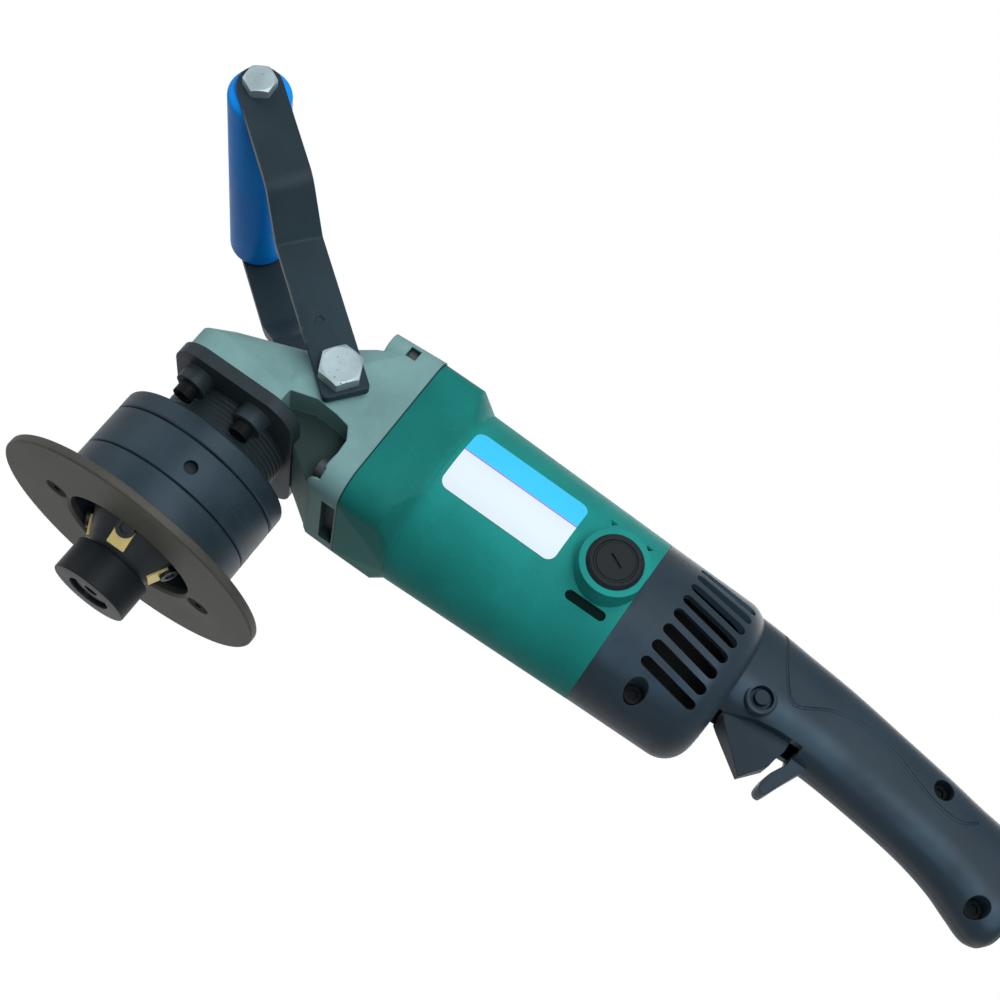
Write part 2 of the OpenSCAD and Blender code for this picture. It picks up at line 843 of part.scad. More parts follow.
// Both handle shells as one body, before the split
module handle_body() {
    difference() {
        union() {
            difference() {
                union() {
                    drum_solid(0);
                    handle_solid(0);
                }
                trigger_throat();
            }
            spur();
        }
        difference() {
            union() {
                drum_solid(shell_wall);
                handle_solid(shell_wall);
            }
            shell_bosses();
            translate([handle_end - shell_wall, -big / 2, 0])
                cube([big, big, big]);
            for (x = [switch_x + 4, switch_x + switch_len - 6])
                translate([x, -big / 2, switch_z])
                    cube([2.5, big, switch_h]);
            translate([0, -big / 2, pivot_trigger[1] - 5])
                translate([pivot_trigger[0] - 5, 0, 0])
                    cube([10, big, 10]);
        }
        translate([switch_x, -switch_half_w, switch_z])
            cube([switch_len, 2 * switch_half_w, switch_h]);
        both_sides()
            for (i = [0 : vent_count - 1])
                vent_slot(vent_top - i * vent_step);
        translate([drum_end + 0.4, -trigger_half_w - 0.6, motor_z - slot_low])
            cube([spur_x - drum_end - 0.9, 2 * trigger_half_w + 1.2, slot_low + 3.5]);
        translate([pivot_trigger[0], 0, pivot_trigger[1]])
            rotate([90, 0, 0])
                cylinder(r = trigger_pin_r + run, h = 2 * (trigger_half_w + 3), center = true, $fn = 32);
        along_y(button_c[0], button_c[1], -1)
            cylinder(r = button_r + gap, h = 40, $fn = 32);
        for (s = shell_screws) {
            translate([s[0], 0, motor_z + s[1]])
                rotate([90, 0, 0])
                    cylinder(r = shell_screw_r + run, h = 2 * s[2], center = true, $fn = 24);
            along_y(s[0], motor_z + s[1], -1)
                translate([0, 0, s[2] - 1])
                    cylinder(r = shell_screw_head_r + 0.6, h = 40, $fn = 32);
        }
        translate([handle_end - inlet_len, 0, inlet_z])
            rotate([0, 90, 0])
                cylinder(r = inlet_r + run, h = inlet_len + 10, $fn = 48);
    }
}

module handle_shell_left() {
    color("#2B3238")
        intersection() {
            handle_body();
            translate([0, -big, 0])
                cube([3 * big, big, 2 * big]);
        }
}

module handle_shell_right() {
    color("#2B3238")
        intersection() {
            handle_body();
            cube([3 * big, big, 2 * big]);
        }
}

module handle_screws() {
    color("#4A4F54")
        for (s = shell_screws)
            along_y(s[0], motor_z + s[1], -1)
                translate([0, 0, s[2] - 1])
                    cap_screw(shell_screw_head_r, 2.6, shell_screw_r, 2 * s[2] - 3);
}

module switch_box() {
    color("#15171A") {
        translate([switch_x, -switch_half_w, switch_z])
            cube([switch_len, 2 * switch_half_w, switch_h]);
        translate([switch_x + 6, 0, switch_z - 3.6])
            cylinder(r = plunger_r, h = 4);
    }
}

module trigger_pin() {
    color("#9AA0A6")
        translate([pivot_trigger[0], 0, pivot_trigger[1]])
            rotate([90, 0, 0])
                cylinder(r = trigger_pin_r, h = 2 * (trigger_half_w + 2.5), center = true);
}

module cord_inlet() {
    color("#202326")
        translate([handle_end - inlet_len + 6, 0, inlet_z])
            rotate([0, 90, 0])
                difference() {
                    union() {
                        cylinder(r = inlet_r, h = inlet_len);
                        translate([0, 0, inlet_len - 6 + gap])
                            cylinder(r = inlet_r + 2.5, h = 3);
                    }
                    translate([0, 0, -1])
                        cylinder(r = inlet_bore_r, h = inlet_len + 2);
                }
}

module bail_bolts() {
    color("#B9C3C6")
        both_sides()
            along_y(pivot_x, pivot_z, -1) {
                translate([0, 0, pivot_boss_y - pivot_depth + 1])
                    cylinder(r = pivot_r, h = pivot_depth - 1 + arm_t + 2 * gap + 0.1);
                translate([0, 0, pivot_boss_y + arm_t + 2 * gap])
                    rotate([0, 0, 5])
                        hex(pivot_head_af, pivot_head_h);
            }
}

module armature_shaft() {
    color("#A9AFB4") {
        along_motor(crown_in - 0.5)
            cylinder(r = pinion_pitch_r - 3, h = front_bearing_x - crown_in);
        along_motor(front_bearing_x - 1.5)
            cylinder(r = shaft_r, h = commutator_x + commutator_len - front_bearing_x + 1.5);
        along_motor(commutator_x + commutator_len - 0.1)
            cylinder(r = rear_shaft_r, h = rear_bearing_x + rear_bearing_w - commutator_x - commutator_len + 1);
    }
}

module armature_core() {
    slots = 12;
    color("#5E6266")
        along_motor(core_x)
            difference() {
                cylinder(r = armature_r, h = armature_len);
                translate([0, 0, -1])
                    cylinder(r = shaft_r + seat, h = armature_len + 2);
                for (i = [0 : slots - 1])
                    rotate([0, 0, i * 360 / slots])
                        translate([armature_r - core_slot_depth, -core_slot_w / 2, -1])
                            cube([core_slot_depth + 1, core_slot_w, armature_len + 2]);
            }
}

module armature_windings() {
    color("#B4632D")
        for (x = [core_x - winding_len, core_end])
            along_motor(x)
                ring(shaft_r + 3, armature_r - 4, winding_len);
}

module commutator() {
    bars = 12;
    color("#C47A3C")
        along_motor(commutator_x)
            difference() {
                cylinder(r = commutator_r, h = commutator_len);
                translate([0, 0, -1])
                    cylinder(r = shaft_r + seat, h = commutator_len + 2);
                for (i = [0 : bars - 1])
                    rotate([0, 0, i * 360 / bars])
                        translate([commutator_r - 0.8, -0.3, -1])
                            cube([2, 0.6, commutator_len + 2]);
            }
}

module cooling_fan() {
    blades = 14;
    color("#D8D4C4")
        along_motor(fan_x)
            difference() {
                union() {
                    cylinder(r = fan_r, h = 2);
                    cylinder(r = shaft_r + 4, h = fan_len);
                    for (i = [0 : blades - 1])
                        rotate([0, 0, i * 360 / blades])
                            translate([shaft_r + 3, -0.8, 1])
                                cube([fan_r - shaft_r - 3.5, 1.6, fan_len - 3]);
                }
                translate([0, 0, -1])
                    cylinder(r = shaft_r + seat, h = fan_len + 2);
            }
}

module pinion() {
    step = 360 / pinion_teeth;
    root = pinion_pitch_r - tooth_down;
    tip = pinion_pitch_r + tooth_up;
    root_a = 0.62 * tooth_w / root * 180 / PI;
    tip_a = 0.3 * tooth_w / tip * 180 / PI;
    color("#8E9499")
        along_motor(crown_in - 0.5)
            difference() {
                linear_extrude(height = gear_face_w + 1)
                    polygon([for (i = [0 : pinion_teeth - 1], k = [[root, -root_a], [tip, -tip_a], [tip, tip_a],
                            [root, root_a]])
                        [k[0] * cos(i * step + k[1]), k[0] * sin(i * step + k[1])]]);
                translate([0, 0, -1])
                    cylinder(r = pinion_pitch_r - 3 + seat, h = gear_face_w + 3);
            }
}

module spindle() {
    color("#A9AFB4")
        difference() {
            union() {
                translate([0, 0, spindle_end_z])
                    cylinder(r = spindle_seat_r, h = crown_z + crown_disc_t - spindle_end_z);
                translate([0, 0, cutter_top])
                    cylinder(r = spindle_shoulder_r, h = lower_bearing_z - gap - cutter_top);
                translate([0, 0, cutter_top])
                    cylinder(r = spindle_r, h = crown_hub_z - cutter_top);
            }
            translate([0, 0, spindle_end_z - 1])
                cylinder(r = pilot_pin_r - 1 + seat, h = 17);
        }
}

module crown_gear() {
    color("#8E9499")
        difference() {
            union() {
                translate([0, 0, crown_hub_z])
                    cylinder(r = spindle_r + 5, h = crown_z - crown_hub_z + 1);
                translate([0, 0, crown_z])
                    cylinder(r = crown_out, h = crown_disc_t);
                for (i = [0 : crown_teeth - 1])
                    rotate([0, 0, (i + 0.5) * 360 / crown_teeth])
                        translate([crown_in, 0, crown_z + crown_disc_t])
                            rotate([90, 0, 90])
                                linear_extrude(height = gear_face_w - 0.2)
                                    polygon([
                                        [-0.55 * tooth_w, -0.5], [0.55 * tooth_w, -0.5],
                                        [0.25 * tooth_w, tooth_down + tooth_up - 0.3],
                                        [-0.25 * tooth_w, tooth_down + tooth_up - 0.3]
                                    ]);
            }
            translate([0, 0, crown_hub_z - 1])
                cylinder(r = spindle_seat_r + seat, h = crown_z);
        }
}

module cutter_head() {
    slope = tan(bevel_angle);
    r_low = insert_r - insert_proud / cos(bevel_angle) - (insert_z - cutter_z) * slope;
    cone_h = 15;
    r_high = r_low + cone_h * slope;
    boss_z = pilot_bearing_z + pilot_bearing_w + gap;
    color("#3B3F43")
        difference() {
            rotate_extrude()
                polygon([
                    [0, boss_z], [pilot_pin_r + 2, boss_z], [pilot_pin_r + 2, cutter_z], [r_low, cutter_z],
                    [r_high, cutter_z + cone_h], [r_high, cutter_top], [0, cutter_top]
                ]);
            translate([0, 0, boss_z - 1])
                cylinder(r = pilot_pin_r + seat, h = big);
            translate([0, 0, spindle_end_z])
                cylinder(r = spindle_seat_r + seat, h = big);
            at_inserts()
                translate([-insert_t, -insert_w / 2, 0])
                    cube([insert_t + 6, insert_w, insert_len]);
            at_inserts()
                translate([0, 0, insert_len - 0.4])
                    rotate([0, 90, 0])
                        cylinder(r = clamp_head_r + 0.2, h = 8);
            at_inserts()
                translate([-7, 0, insert_len - 0.4])
                    rotate([0, 90, 0])
                        cylinder(r = clamp_head_r / 2 - 0.1 + seat, h = 10);
        }
}

module cutter_inserts() {
    color("#E0CC70")
        at_inserts()
            difference() {
                translate([-insert_t, -insert_w / 2, 0])
                    cube([insert_t, insert_w, insert_len]);
                translate([-7, 0, insert_len - 0.4])
                    rotate([0, 90, 0])
                        cylinder(r = clamp_head_r / 2 - 0.1 + seat, h = 10);
            }
}

module insert_screws() {
    color("#26292C")
        at_inserts()
            translate([0, 0, insert_len - 0.4])
                rotate([0, 90, 0])
                    cap_screw(clamp_head_r, 1.6, clamp_head_r / 2 - 0.1, 6.5);
}

module pilot_screw() {
    head_top = pilot_bearing_z - gap;
    color("#33373B") {
        difference() {
            translate([0, 0, head_top - 4])
                cylinder(r = pilot_pin_r + 2.5, h = 4);
            translate([0, 0, head_top - 5])
                hex(pilot_pin_r + 1, 3.5);
        }
        translate([0, 0, head_top - 0.1])
            cylinder(r = pilot_pin_r, h = spindle_end_z - head_top + 0.1);
        translate([0, 0, spindle_end_z - 0.1])
            cylinder(r = pilot_pin_r - 1, h = 14);
    }
}

module pilot_roller() {
    color("#2A2E33")
        rotate_extrude()
            polygon([
                [pilot_lip_r, 0], [pilot_r, 0], [pilot_r, pilot_h], [pilot_bearing_r + seat, pilot_h],
                [pilot_bearing_r + seat, pilot_bearing_z - 1], [pilot_lip_r, pilot_bearing_z - 1]
            ]);
}

module pilot_bearing() {
    color("#8E9499")
        translate([0, 0, pilot_bearing_z])
            ball_bearing(pilot_pin_r + run, pilot_bearing_r, pilot_bearing_w);
}

module lock_ring() {
    color("#2F3A44")
        translate([0, 0, lock_z])
            chamfered_ring(neck_r + run, ring_r, lock_h, 0.8);
}

module adjusting_ring() {
    color("#2F3A44")
        difference() {
            translate([0, 0, adjust_z])
                chamfered_ring(neck_r + run, ring_r, adjust_h, 0.5);
            translate([0, 0, adjust_z - 1])
                cylinder(r = spigot_r + run, h = spigot_h + gap + 1);
            for (i = [0 : spanner_holes - 1])
                rotate([0, 0, -76.6 + i * 360 / spanner_holes])
                    translate([ring_r - 4, 0, adjust_z + adjust_h * 0.46])
                        rotate([0, 90, 0])
                            cylinder(r = spanner_r, h = 10);
        }
}

module guide_sleeve() {
    color("#2F3A44")
        difference() {
            union() {
                translate([0, 0, sleeve_z])
                    chamfered_ring(neck_r + run, ring_r, sleeve_h, 0.5);
                translate([0, 0, sleeve_z + sleeve_h - 0.5])
                    ring(neck_r + run, spigot_r, spigot_h - gap + 0.5);
            }
            translate([0, 0, sleeve_z - 1])
                cylinder(r = sleeve_bore_r, h = neck_z - sleeve_z + 1);
            at_plate_screws()
                translate([0, 0, sleeve_z - 1])
                    cylinder(r = plate_screw_r + seat, h = 13);
        }
}

// Places a piece at each of the guide plate's screws
module at_plate_screws() {
    for (a = [plate_screw_angle, plate_screw_angle + 180])
        rotate([0, 0, a])
            translate([plate_screw_c, 0, 0])
                children();
}

module guide_plate() {
    edge = 0.6;
    color("#4A4946")
        difference() {
            rotate_extrude($fn = 128)
                polygon([
                    [opening_r + 1.2, plate_z], [plate_r - edge, plate_z], [plate_r, plate_z + edge],
                    [plate_r, sleeve_z - edge], [plate_r - edge, sleeve_z], [opening_r, sleeve_z],
                    [opening_r, plate_z + 1.2]
                ]);
            at_plate_screws() {
                translate([0, 0, plate_z - 0.02])
                    cylinder(r1 = plate_screw_head_r + 0.05, r2 = plate_screw_r + 0.05, h = 3.2);
                translate([0, 0, plate_z])
                    cylinder(r = plate_screw_r + 0.05, h = plate_t + 1);
            }
        }
}

module guide_plate_screws() {
    color("#33373B")
        at_plate_screws()
            difference() {
                union() {
                    translate([0, 0, plate_z + 0.3])
                        cylinder(r1 = plate_screw_head_r - 0.4, r2 = plate_screw_r, h = 2.9);
                    translate([0, 0, plate_z + 0.3])
                        cylinder(r = plate_screw_r, h = plate_t + 10);
                }
                translate([0, 0, plate_z - 1])
                    hex(3.2, 3);
            }
}

// One bail arm: a joggled strip cut to a side outline, on the near side
module bail_arm() {
    s0 = -10.3;
    s1 = bail_len + arm_w / 2;
    translate([pivot_x, 0, pivot_z])
        rotate([0, -bail_angle, 0])
            difference() {
                intersection() {
                    translate([0, 0, -arm_w / 2])
                        linear_extrude(height = arm_w)
                            polygon([
                                [s0, -arm_in_y], [bend_start, -arm_in_y], [bend_start + bend_len, -arm_in_y - arm_step],
                                [s1, -arm_in_y - arm_step], [s1, -arm_in_y - arm_step - arm_t],
                                [bend_start + bend_len - arm_t * 0.42, -arm_in_y - arm_step - arm_t],
                                [bend_start - arm_t * 0.42, -arm_in_y - arm_t], [s0, -arm_in_y - arm_t]
                            ]);
                    rotate([90, 0, 0]) {
                        translate([s0, -arm_w / 2 + 2, 0])
                            cube([bail_len - s0, arm_w - 4, big]);
                        translate([s0 + 2, -arm_w / 2, 0])
                            cube([bail_len - s0 - 2, arm_w, big]);
                        for (w = [-1, 1])
                            translate([s0 + 2, w * (arm_w / 2 - 2), 0])
                                cylinder(r = 2, h = big);
                        translate([bail_len, 0, 0])
                            cylinder(r = arm_w / 2, h = big);
                    }
                }
                rotate([90, 0, 0]) {
                    cylinder(r = pivot_r + run, h = big);
                    translate([bail_len, 0, 0])
                        cylinder(r = rod_r + seat, h = big);
                    translate([24.8, 2, arm_in_y + arm_t - 0.6])
                        cylinder(r = 2.3, h = big);
                }
            }
}

module bail_arm_left() {
    color("#2B3036")
        bail_arm();
}

module bail_arm_right() {
    color("#2B3036")
        mirror([0, 1, 0])
            bail_arm();
}

// Places a piece on the grip axis, pointing along -Y
module on_grip() {
    translate([pivot_x + bail_len * cos(bail_angle), 0, pivot_z + bail_len * sin(bail_angle)])
        rotate([90, 0, 0])
            children();
}

module grip_tube() {
    edge = 1.2;
    color("#1559A8")
        on_grip()
            rotate_extrude()
                polygon([
                    [rod_r + 1, -grip_half], [grip_r - edge, -grip_half], [grip_r, edge - grip_half],
                    [grip_r, grip_half - edge], [grip_r - edge, grip_half], [rod_r + 1, grip_half]
                ]);
}

module grip_rod() {
    color("#9AA0A6")
        on_grip()
            cylinder(r = rod_r, h = 2 * (grip_half + arm_t), center = true);
}

module grip_bolts() {
    color("#B9C3C6")
        both_sides()
            on_grip()
                translate([0, 0, grip_half + arm_t])
                    rotate([0, 0, 25])
                        hex(rod_head_af, rod_head_h);
}

module trigger() {
    color("#3A4148")
        difference() {
            intersection() {
                rotate([90, 0, 0])
                    translate([0, 0, -trigger_half_w - 1])
                        linear_extrude(height = 2 * trigger_half_w + 2)
                            polygon([
                                [drum_end + 3.5, trigger_top], [trigger_rear, trigger_top],
                                [trigger_rear, motor_z - 9], [trigger_rear - 1.4, motor_z - 13.5],
                                [trigger_rear - 2, motor_z - 17.1], [trigger_rear - 9.9, motor_z - 27.4],
                                [drum_end + 6, motor_z - 13.5], [drum_end + 3.5, motor_z - 11]
                            ]);
                translate([drum_end, 0, motor_z])
                    rotate([90, 0, 90])
                        linear_extrude(height = trigger_rear - drum_end + 1)
                            polygon([
                                [-trigger_half_w, 0], [-trigger_half_w, -9], [-2.2, -28.5],
                                [2.2, -28.5], [trigger_half_w, -9], [trigger_half_w, 0]
                            ]);
            }
            translate([pivot_trigger[0], 0, pivot_trigger[1]])
                rotate([90, 0, 0])
                    cylinder(r = trigger_pin_r + run, h = 40, center = true);
        }
}

module lock_button() {
    color("#1B1E21")
        along_y(button_c[0], button_c[1], -1)
            translate([0, 0, button_in])
                union() {
                    cylinder(r = button_r, h = button_face - button_in - 3.5);
                    cylinder(r = button_r - 1.7, h = button_face - button_in);
                }
}

gear_housing();
bearing_box();
bearing_box_screws();
upper_spindle_bearing();
lower_spindle_bearing();
motor_housing();
gear_housing_screws();
front_motor_bearing();
rear_motor_bearing();
stator_core();
field_coils();
rating_label();
brush_holders();
carbon_brushes();
brush_springs();
brush_caps();
handle_shell_left();
handle_shell_right();
handle_screws();
switch_box();
trigger_pin();
cord_inlet();
bail_bolts();
armature_shaft();
armature_core();
armature_windings();
commutator();
cooling_fan();
pinion();
spindle();
crown_gear();
cutter_head();
cutter_inserts();
insert_screws();
pilot_screw();
pilot_roller();
pilot_bearing();
lock_ring();
adjusting_ring();
guide_sleeve();
guide_plate();
guide_plate_screws();
bail_arm_left();
bail_arm_right();
grip_tube();
grip_rod();
grip_bolts();
trigger();
lock_button();
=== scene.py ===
import json
from math import acos, copysign, cos, pi, radians, sin, sqrt, tan

import bmesh
import bpy
from bpy.props import FloatProperty, FloatVectorProperty, IntProperty, PointerProperty
from mathutils import Matrix, Vector


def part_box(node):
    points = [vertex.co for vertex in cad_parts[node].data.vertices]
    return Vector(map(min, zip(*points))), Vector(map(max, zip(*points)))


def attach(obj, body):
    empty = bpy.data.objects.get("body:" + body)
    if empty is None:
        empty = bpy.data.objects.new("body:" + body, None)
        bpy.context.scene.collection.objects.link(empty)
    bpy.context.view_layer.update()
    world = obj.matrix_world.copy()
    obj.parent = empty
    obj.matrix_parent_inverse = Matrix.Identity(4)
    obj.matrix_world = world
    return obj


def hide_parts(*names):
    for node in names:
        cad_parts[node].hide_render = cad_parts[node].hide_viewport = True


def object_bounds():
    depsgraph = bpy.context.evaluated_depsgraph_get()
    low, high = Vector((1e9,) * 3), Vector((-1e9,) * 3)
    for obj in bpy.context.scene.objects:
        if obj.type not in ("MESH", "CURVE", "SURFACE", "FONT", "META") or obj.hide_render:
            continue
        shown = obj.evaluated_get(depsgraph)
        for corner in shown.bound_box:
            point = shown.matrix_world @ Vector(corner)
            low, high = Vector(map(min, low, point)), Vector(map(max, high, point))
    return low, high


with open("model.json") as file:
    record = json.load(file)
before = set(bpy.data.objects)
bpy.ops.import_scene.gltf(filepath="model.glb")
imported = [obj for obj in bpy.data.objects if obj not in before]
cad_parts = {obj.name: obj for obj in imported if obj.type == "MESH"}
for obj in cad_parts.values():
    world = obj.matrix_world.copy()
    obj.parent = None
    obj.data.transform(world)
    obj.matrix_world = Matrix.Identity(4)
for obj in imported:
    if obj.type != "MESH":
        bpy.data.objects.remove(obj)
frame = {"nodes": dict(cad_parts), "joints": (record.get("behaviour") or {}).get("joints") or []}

bl_info = {
    "name": "Beveling Machine Dress",
    "version": (1, 0, 0),
    "blender": (4, 5, 0),
    "location": "View3D > Sidebar > Beveler",
    "description": "Finishes, moulded shells and a studio for a hand-held beveling machine",
    "category": "Object",
}

MM = 0.001

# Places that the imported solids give, in metres
CAD_LOW, CAD_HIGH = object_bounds()
NODES = frame["nodes"]
JOINTS = {joint["name"]: joint for joint in frame["joints"]}
MOTOR_Z = JOINTS["armature_spin"]["pos_m"][2]
BAIL_PIVOT = Vector(JOINTS["bail_swing"]["pos_m"])
DRUM_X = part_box("handle_shell_left")[0].x
SEAM_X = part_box("motor_housing")[0].x
BUTTON_LOW, BUTTON_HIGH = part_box("lock_button")
CAP_LOW, CAP_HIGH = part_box("brush_caps")
GRIP_LOW, GRIP_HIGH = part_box("grip_tube")
RING_LOW, RING_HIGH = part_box("adjusting_ring")
ARM_INNER_Y = -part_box("bail_arm_left")[1].y
PIVOT_BOLT_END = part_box("bail_bolts")[1].y
GRIP_BOLT_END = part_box("grip_bolts")[1].y


def linear(hex_colour):
    """Linear red, green and blue of a written colour."""
    parts = [int(hex_colour[i:i + 2], 16) / 255 for i in (1, 3, 5)]
    return tuple(p / 12.92 if p <= 0.04045 else ((p + 0.055) / 1.055) ** 2.4 for p in parts)


def scaled(tone, factor):
    """A colour made darker or lighter."""
    return tuple(min(1.0, part * factor) for part in tone)


def colour(name, hex_colour, description):
    """A colour setting with a written default."""
    return FloatVectorProperty(name=name, description=description, subtype="COLOR", size=3,
                               min=0.0, max=1.0, default=linear(hex_colour))


def length(name, millimetres, description):
    """A length setting with a default in millimetres."""
    return FloatProperty(name=name, description=description, subtype="DISTANCE", unit="LENGTH",
                         min=0.0, default=millimetres * MM)


class BevelerColours(bpy.types.PropertyGroup):
    """Colours of the machine's finishes."""

    motor_green: colour("Motor green", "#238B84", "Moulded plastic of the motor housing")
    casting_grey: colour("Casting grey", "#7EA3A2", "Paint on the gear housing")
    handle_black: colour("Handle black", "#2C3943", "Moulded plastic of the rear handle")
    ring_blue_black: colour("Ring blue-black", "#2A3841", "Blued steel of the depth rings")
    box_black: colour("Box black", "#2B3438", "Blackened steel of the bearing box")
    plate_grey: colour("Plate grey", "#484742", "Turned steel of the guide plate")
    arm_black: colour("Arm black", "#29373F", "Powder coat of the bail arms")
    grip_blue: colour("Grip blue", "#1794FF", "Plastic of the grip tube")
    label_white: colour("Label white", "#E6EFF6", "Lower field of the rating label")
    label_blue: colour("Label blue", "#3DCDFF", "Upper field of the rating label")
    label_line: colour("Label line", "#AA6AD4", "Line between the label's two fields")
    insert_gold: colour("Insert gold", "#DFCA80", "Hard coating of the cutting inserts")
    zinc: colour("Zinc", "#93A4A9", "Plating of the bolts")


class BevelerSizes(bpy.types.PropertyGroup):
    """Sizes of the moulded and bent pieces."""

    shell_wall: length("Shell wall", 3.0, "Wall of the handle shells")
    seam: length("Seam", 0.12, "Half of the gap between the two handle shells")
    vent_length: length("Vent length", 29.0, "Length of a vent slot")
    vent_width: length("Vent width", 4.8, "Width of a vent slot")
    vent_count: IntProperty(name="Vents", description="Vent slots on each side", min=1, max=8, default=8)
    groove_radius: length("Groove radius", 0.75, "Radius of the line moulded into the handle's sides")
    bend_radius: length("Bend radius", 7.0, "Inner radius of the bends in the bail arms")
    soft_edge: length("Soft edge", 0.6, "Rounding of edges that are left square on the solids")


# Shader tools, with the finishes' lengths in millimetres

# Sockets of the Mix node when it mixes colours
MIX_FACTOR, MIX_FIRST, MIX_SECOND, MIX_RESULT = 0, 6, 7, 2
# Moulded plastics: roughness, specular, grains a metre, grain depth, edge rounding
PLASTICS = {
    "green moulded plastic": (0.48, 0.04, 1700, 0.07, 0.6),
    "black moulded plastic": (0.42, 0.1, 2600, 0.05, 0.5),
    "switch black plastic": (0.45, 0.08, 2600, 0.05, 0.5),
    "blue grip plastic": (0.4, 0.05, 1500, 0.05, 0),
    "soft rubber": (0.7, 0.1, 1800, 0.06, 0),
    "baffle board": (0.8, 0.1, 1200, 0.05, 0),
    "brush cap resin": (0.34, 0.08, 2200, 0.02, 0.3),
    "pressed carbon": (0.6, 0.4, 3000, 0.04, 0),
    "fan plastic": (0.5, 0.4, 2000, 0.03, 0),
    "switch resin": (0.5, 0.4, 2400, 0.03, 0),
}
# Paints: roughness, specular, orange peel a metre, brightness of chips, edge rounding
PAINTS = {"casting paint": (0.55, 0.1, 520, 1.5, 1.2), "arm powder coat": (0.45, 0.1, 900, 5, 0.5)}
# Turned steels: roughness, metallic, ring pitch, ring depth, edge rounding, wear of edges
STEELS = {
    "blackened steel": (0.46, 0.2, 0.5, 0.02, 0.6, 0.25),
    "blued steel": (0.42, 0.25, 0.42, 0.012, 0.4, 0.3),
    "turned plate steel": (0.55, 0.3, 0.5, 0.02, 0.4, 0.2),
    "hardened roller steel": (0.42, 0.15, 0.4, 0.012, 0.4, 0.35),
    "cutter steel": (0.42, 0.5, 0.4, 0.012, 0.4, 0.3),
}
# Other metals: roughness, metallic, dark spots, edge rounding, specular
METALS = {
    "zinc plate": (0.5, 0.6, 1, 0.3, 0.5),
    "drawn steel": (0.35, 1, 0, 0, 0.5),
    "commutator copper": (0.3, 1, 0, 0, 0.5),
    "drawn brass": (0.32, 1, 0, 0, 0.5),
    "ground steel": (0.28, 1, 0, 0, 0.5),
    "sealed bearing": (0.5, 0.2, 0.3, 0.3, 0.2),
    "gear steel": (0.3, 1, 0, 0, 0.5),
    "bearing steel": (0.35, 0.8, 0, 0, 0.5),
    "black oxide screw": (0.5, 0, 0.3, 0.3, 0.05),
    "plated screw": (0.4, 0.3, 0.5, 0.3, 0.2),
    "dark socket screw": (0.4, 0.7, 0.3, 0.3, 0.5),
    "plate screw": (0.6, 0, 0.3, 0.3, 0.02),
    "coated carbide": (0.34, 0.4, 0.15, 0.25, 0.5),
}


def arithmetic(operation, swapped=False):
    """A method for one of Python's signs, which adds a Math node."""
    def act(value, other):
        return value.math(operation, *((other, value) if swapped else (value, other)))
    return act


class Value:
    """A shader socket that takes part in Python arithmetic by adding Math nodes."""

    __add__ = arithmetic("ADD")
    __radd__ = arithmetic("ADD", True)
    __sub__ = arithmetic("SUBTRACT")
    __rsub__ = arithmetic("SUBTRACT", True)
    __mul__ = arithmetic("MULTIPLY")
    __rmul__ = arithmetic("MULTIPLY", True)
    __truediv__ = arithmetic("DIVIDE")
    __pow__ = arithmetic("POWER")

    def __init__(self, nodes, socket):
        self.nodes = nodes
        self.socket = socket

    def math(self, operation, *inputs):
        return self.nodes.node("ShaderNodeMath", {"operation": operation}, dict(enumerate(inputs)))

    def size(self):
        return self.math("ABSOLUTE", self)

    def waves(self, pitch, shift=0.0):
        """Waves between 0 and 1 along the value."""
        return self.math("SINE", self * (2 * pi / pitch) + shift) * 0.5 + 0.5

    def above(self, edge):
        """1 where the value is above the edge, else 0."""
        return self.math("GREATER_THAN", self, edge)

    def between(self, low, high):
        """1 where the value is between two edges, else 0."""
        return self.above(low) * (1 - self.above(high))

    def limited(self):
        """The value held between 0 and 1."""
        return self.nodes.node("ShaderNodeClamp", {}, {0: self})

    def step(self, low, high):
        """A smooth rise from 0 to 1 between two values."""
        return self.nodes.node("ShaderNodeMapRange", {"interpolation_type": "SMOOTHSTEP"},
                               {"Value": self, "From Min": low, "From Max": high})


def hypotenuse(first, second):
    """Distance from an axis, from the two values across it."""
    return (first * first + second * second) ** 0.5


class Nodes:
    """A node tree under construction."""

    def __init__(self, tree):
        self.tree = tree

    def node(self, kind, settings=None, inputs=None, out=0):
        """Adds a node, with its settings first, and gives one of its outputs, or a list of them."""
        made = self.tree.nodes.new(kind)
        for name, value in (settings or {}).items():
            setattr(made, name, value)
        for key, value in (inputs or {}).items():
            self.feed(made.inputs[key], value)
        if isinstance(out, tuple):
            return [Value(self, made.outputs[key]) for key in out]
        return Value(self, made.outputs[out]) if made.outputs else None

    def feed(self, socket, value):
        """Links a value to a socket, or sets the socket's own value."""
        if isinstance(value, Value):
            self.tree.links.new(value.socket, socket)
        else:
            socket.default_value = value


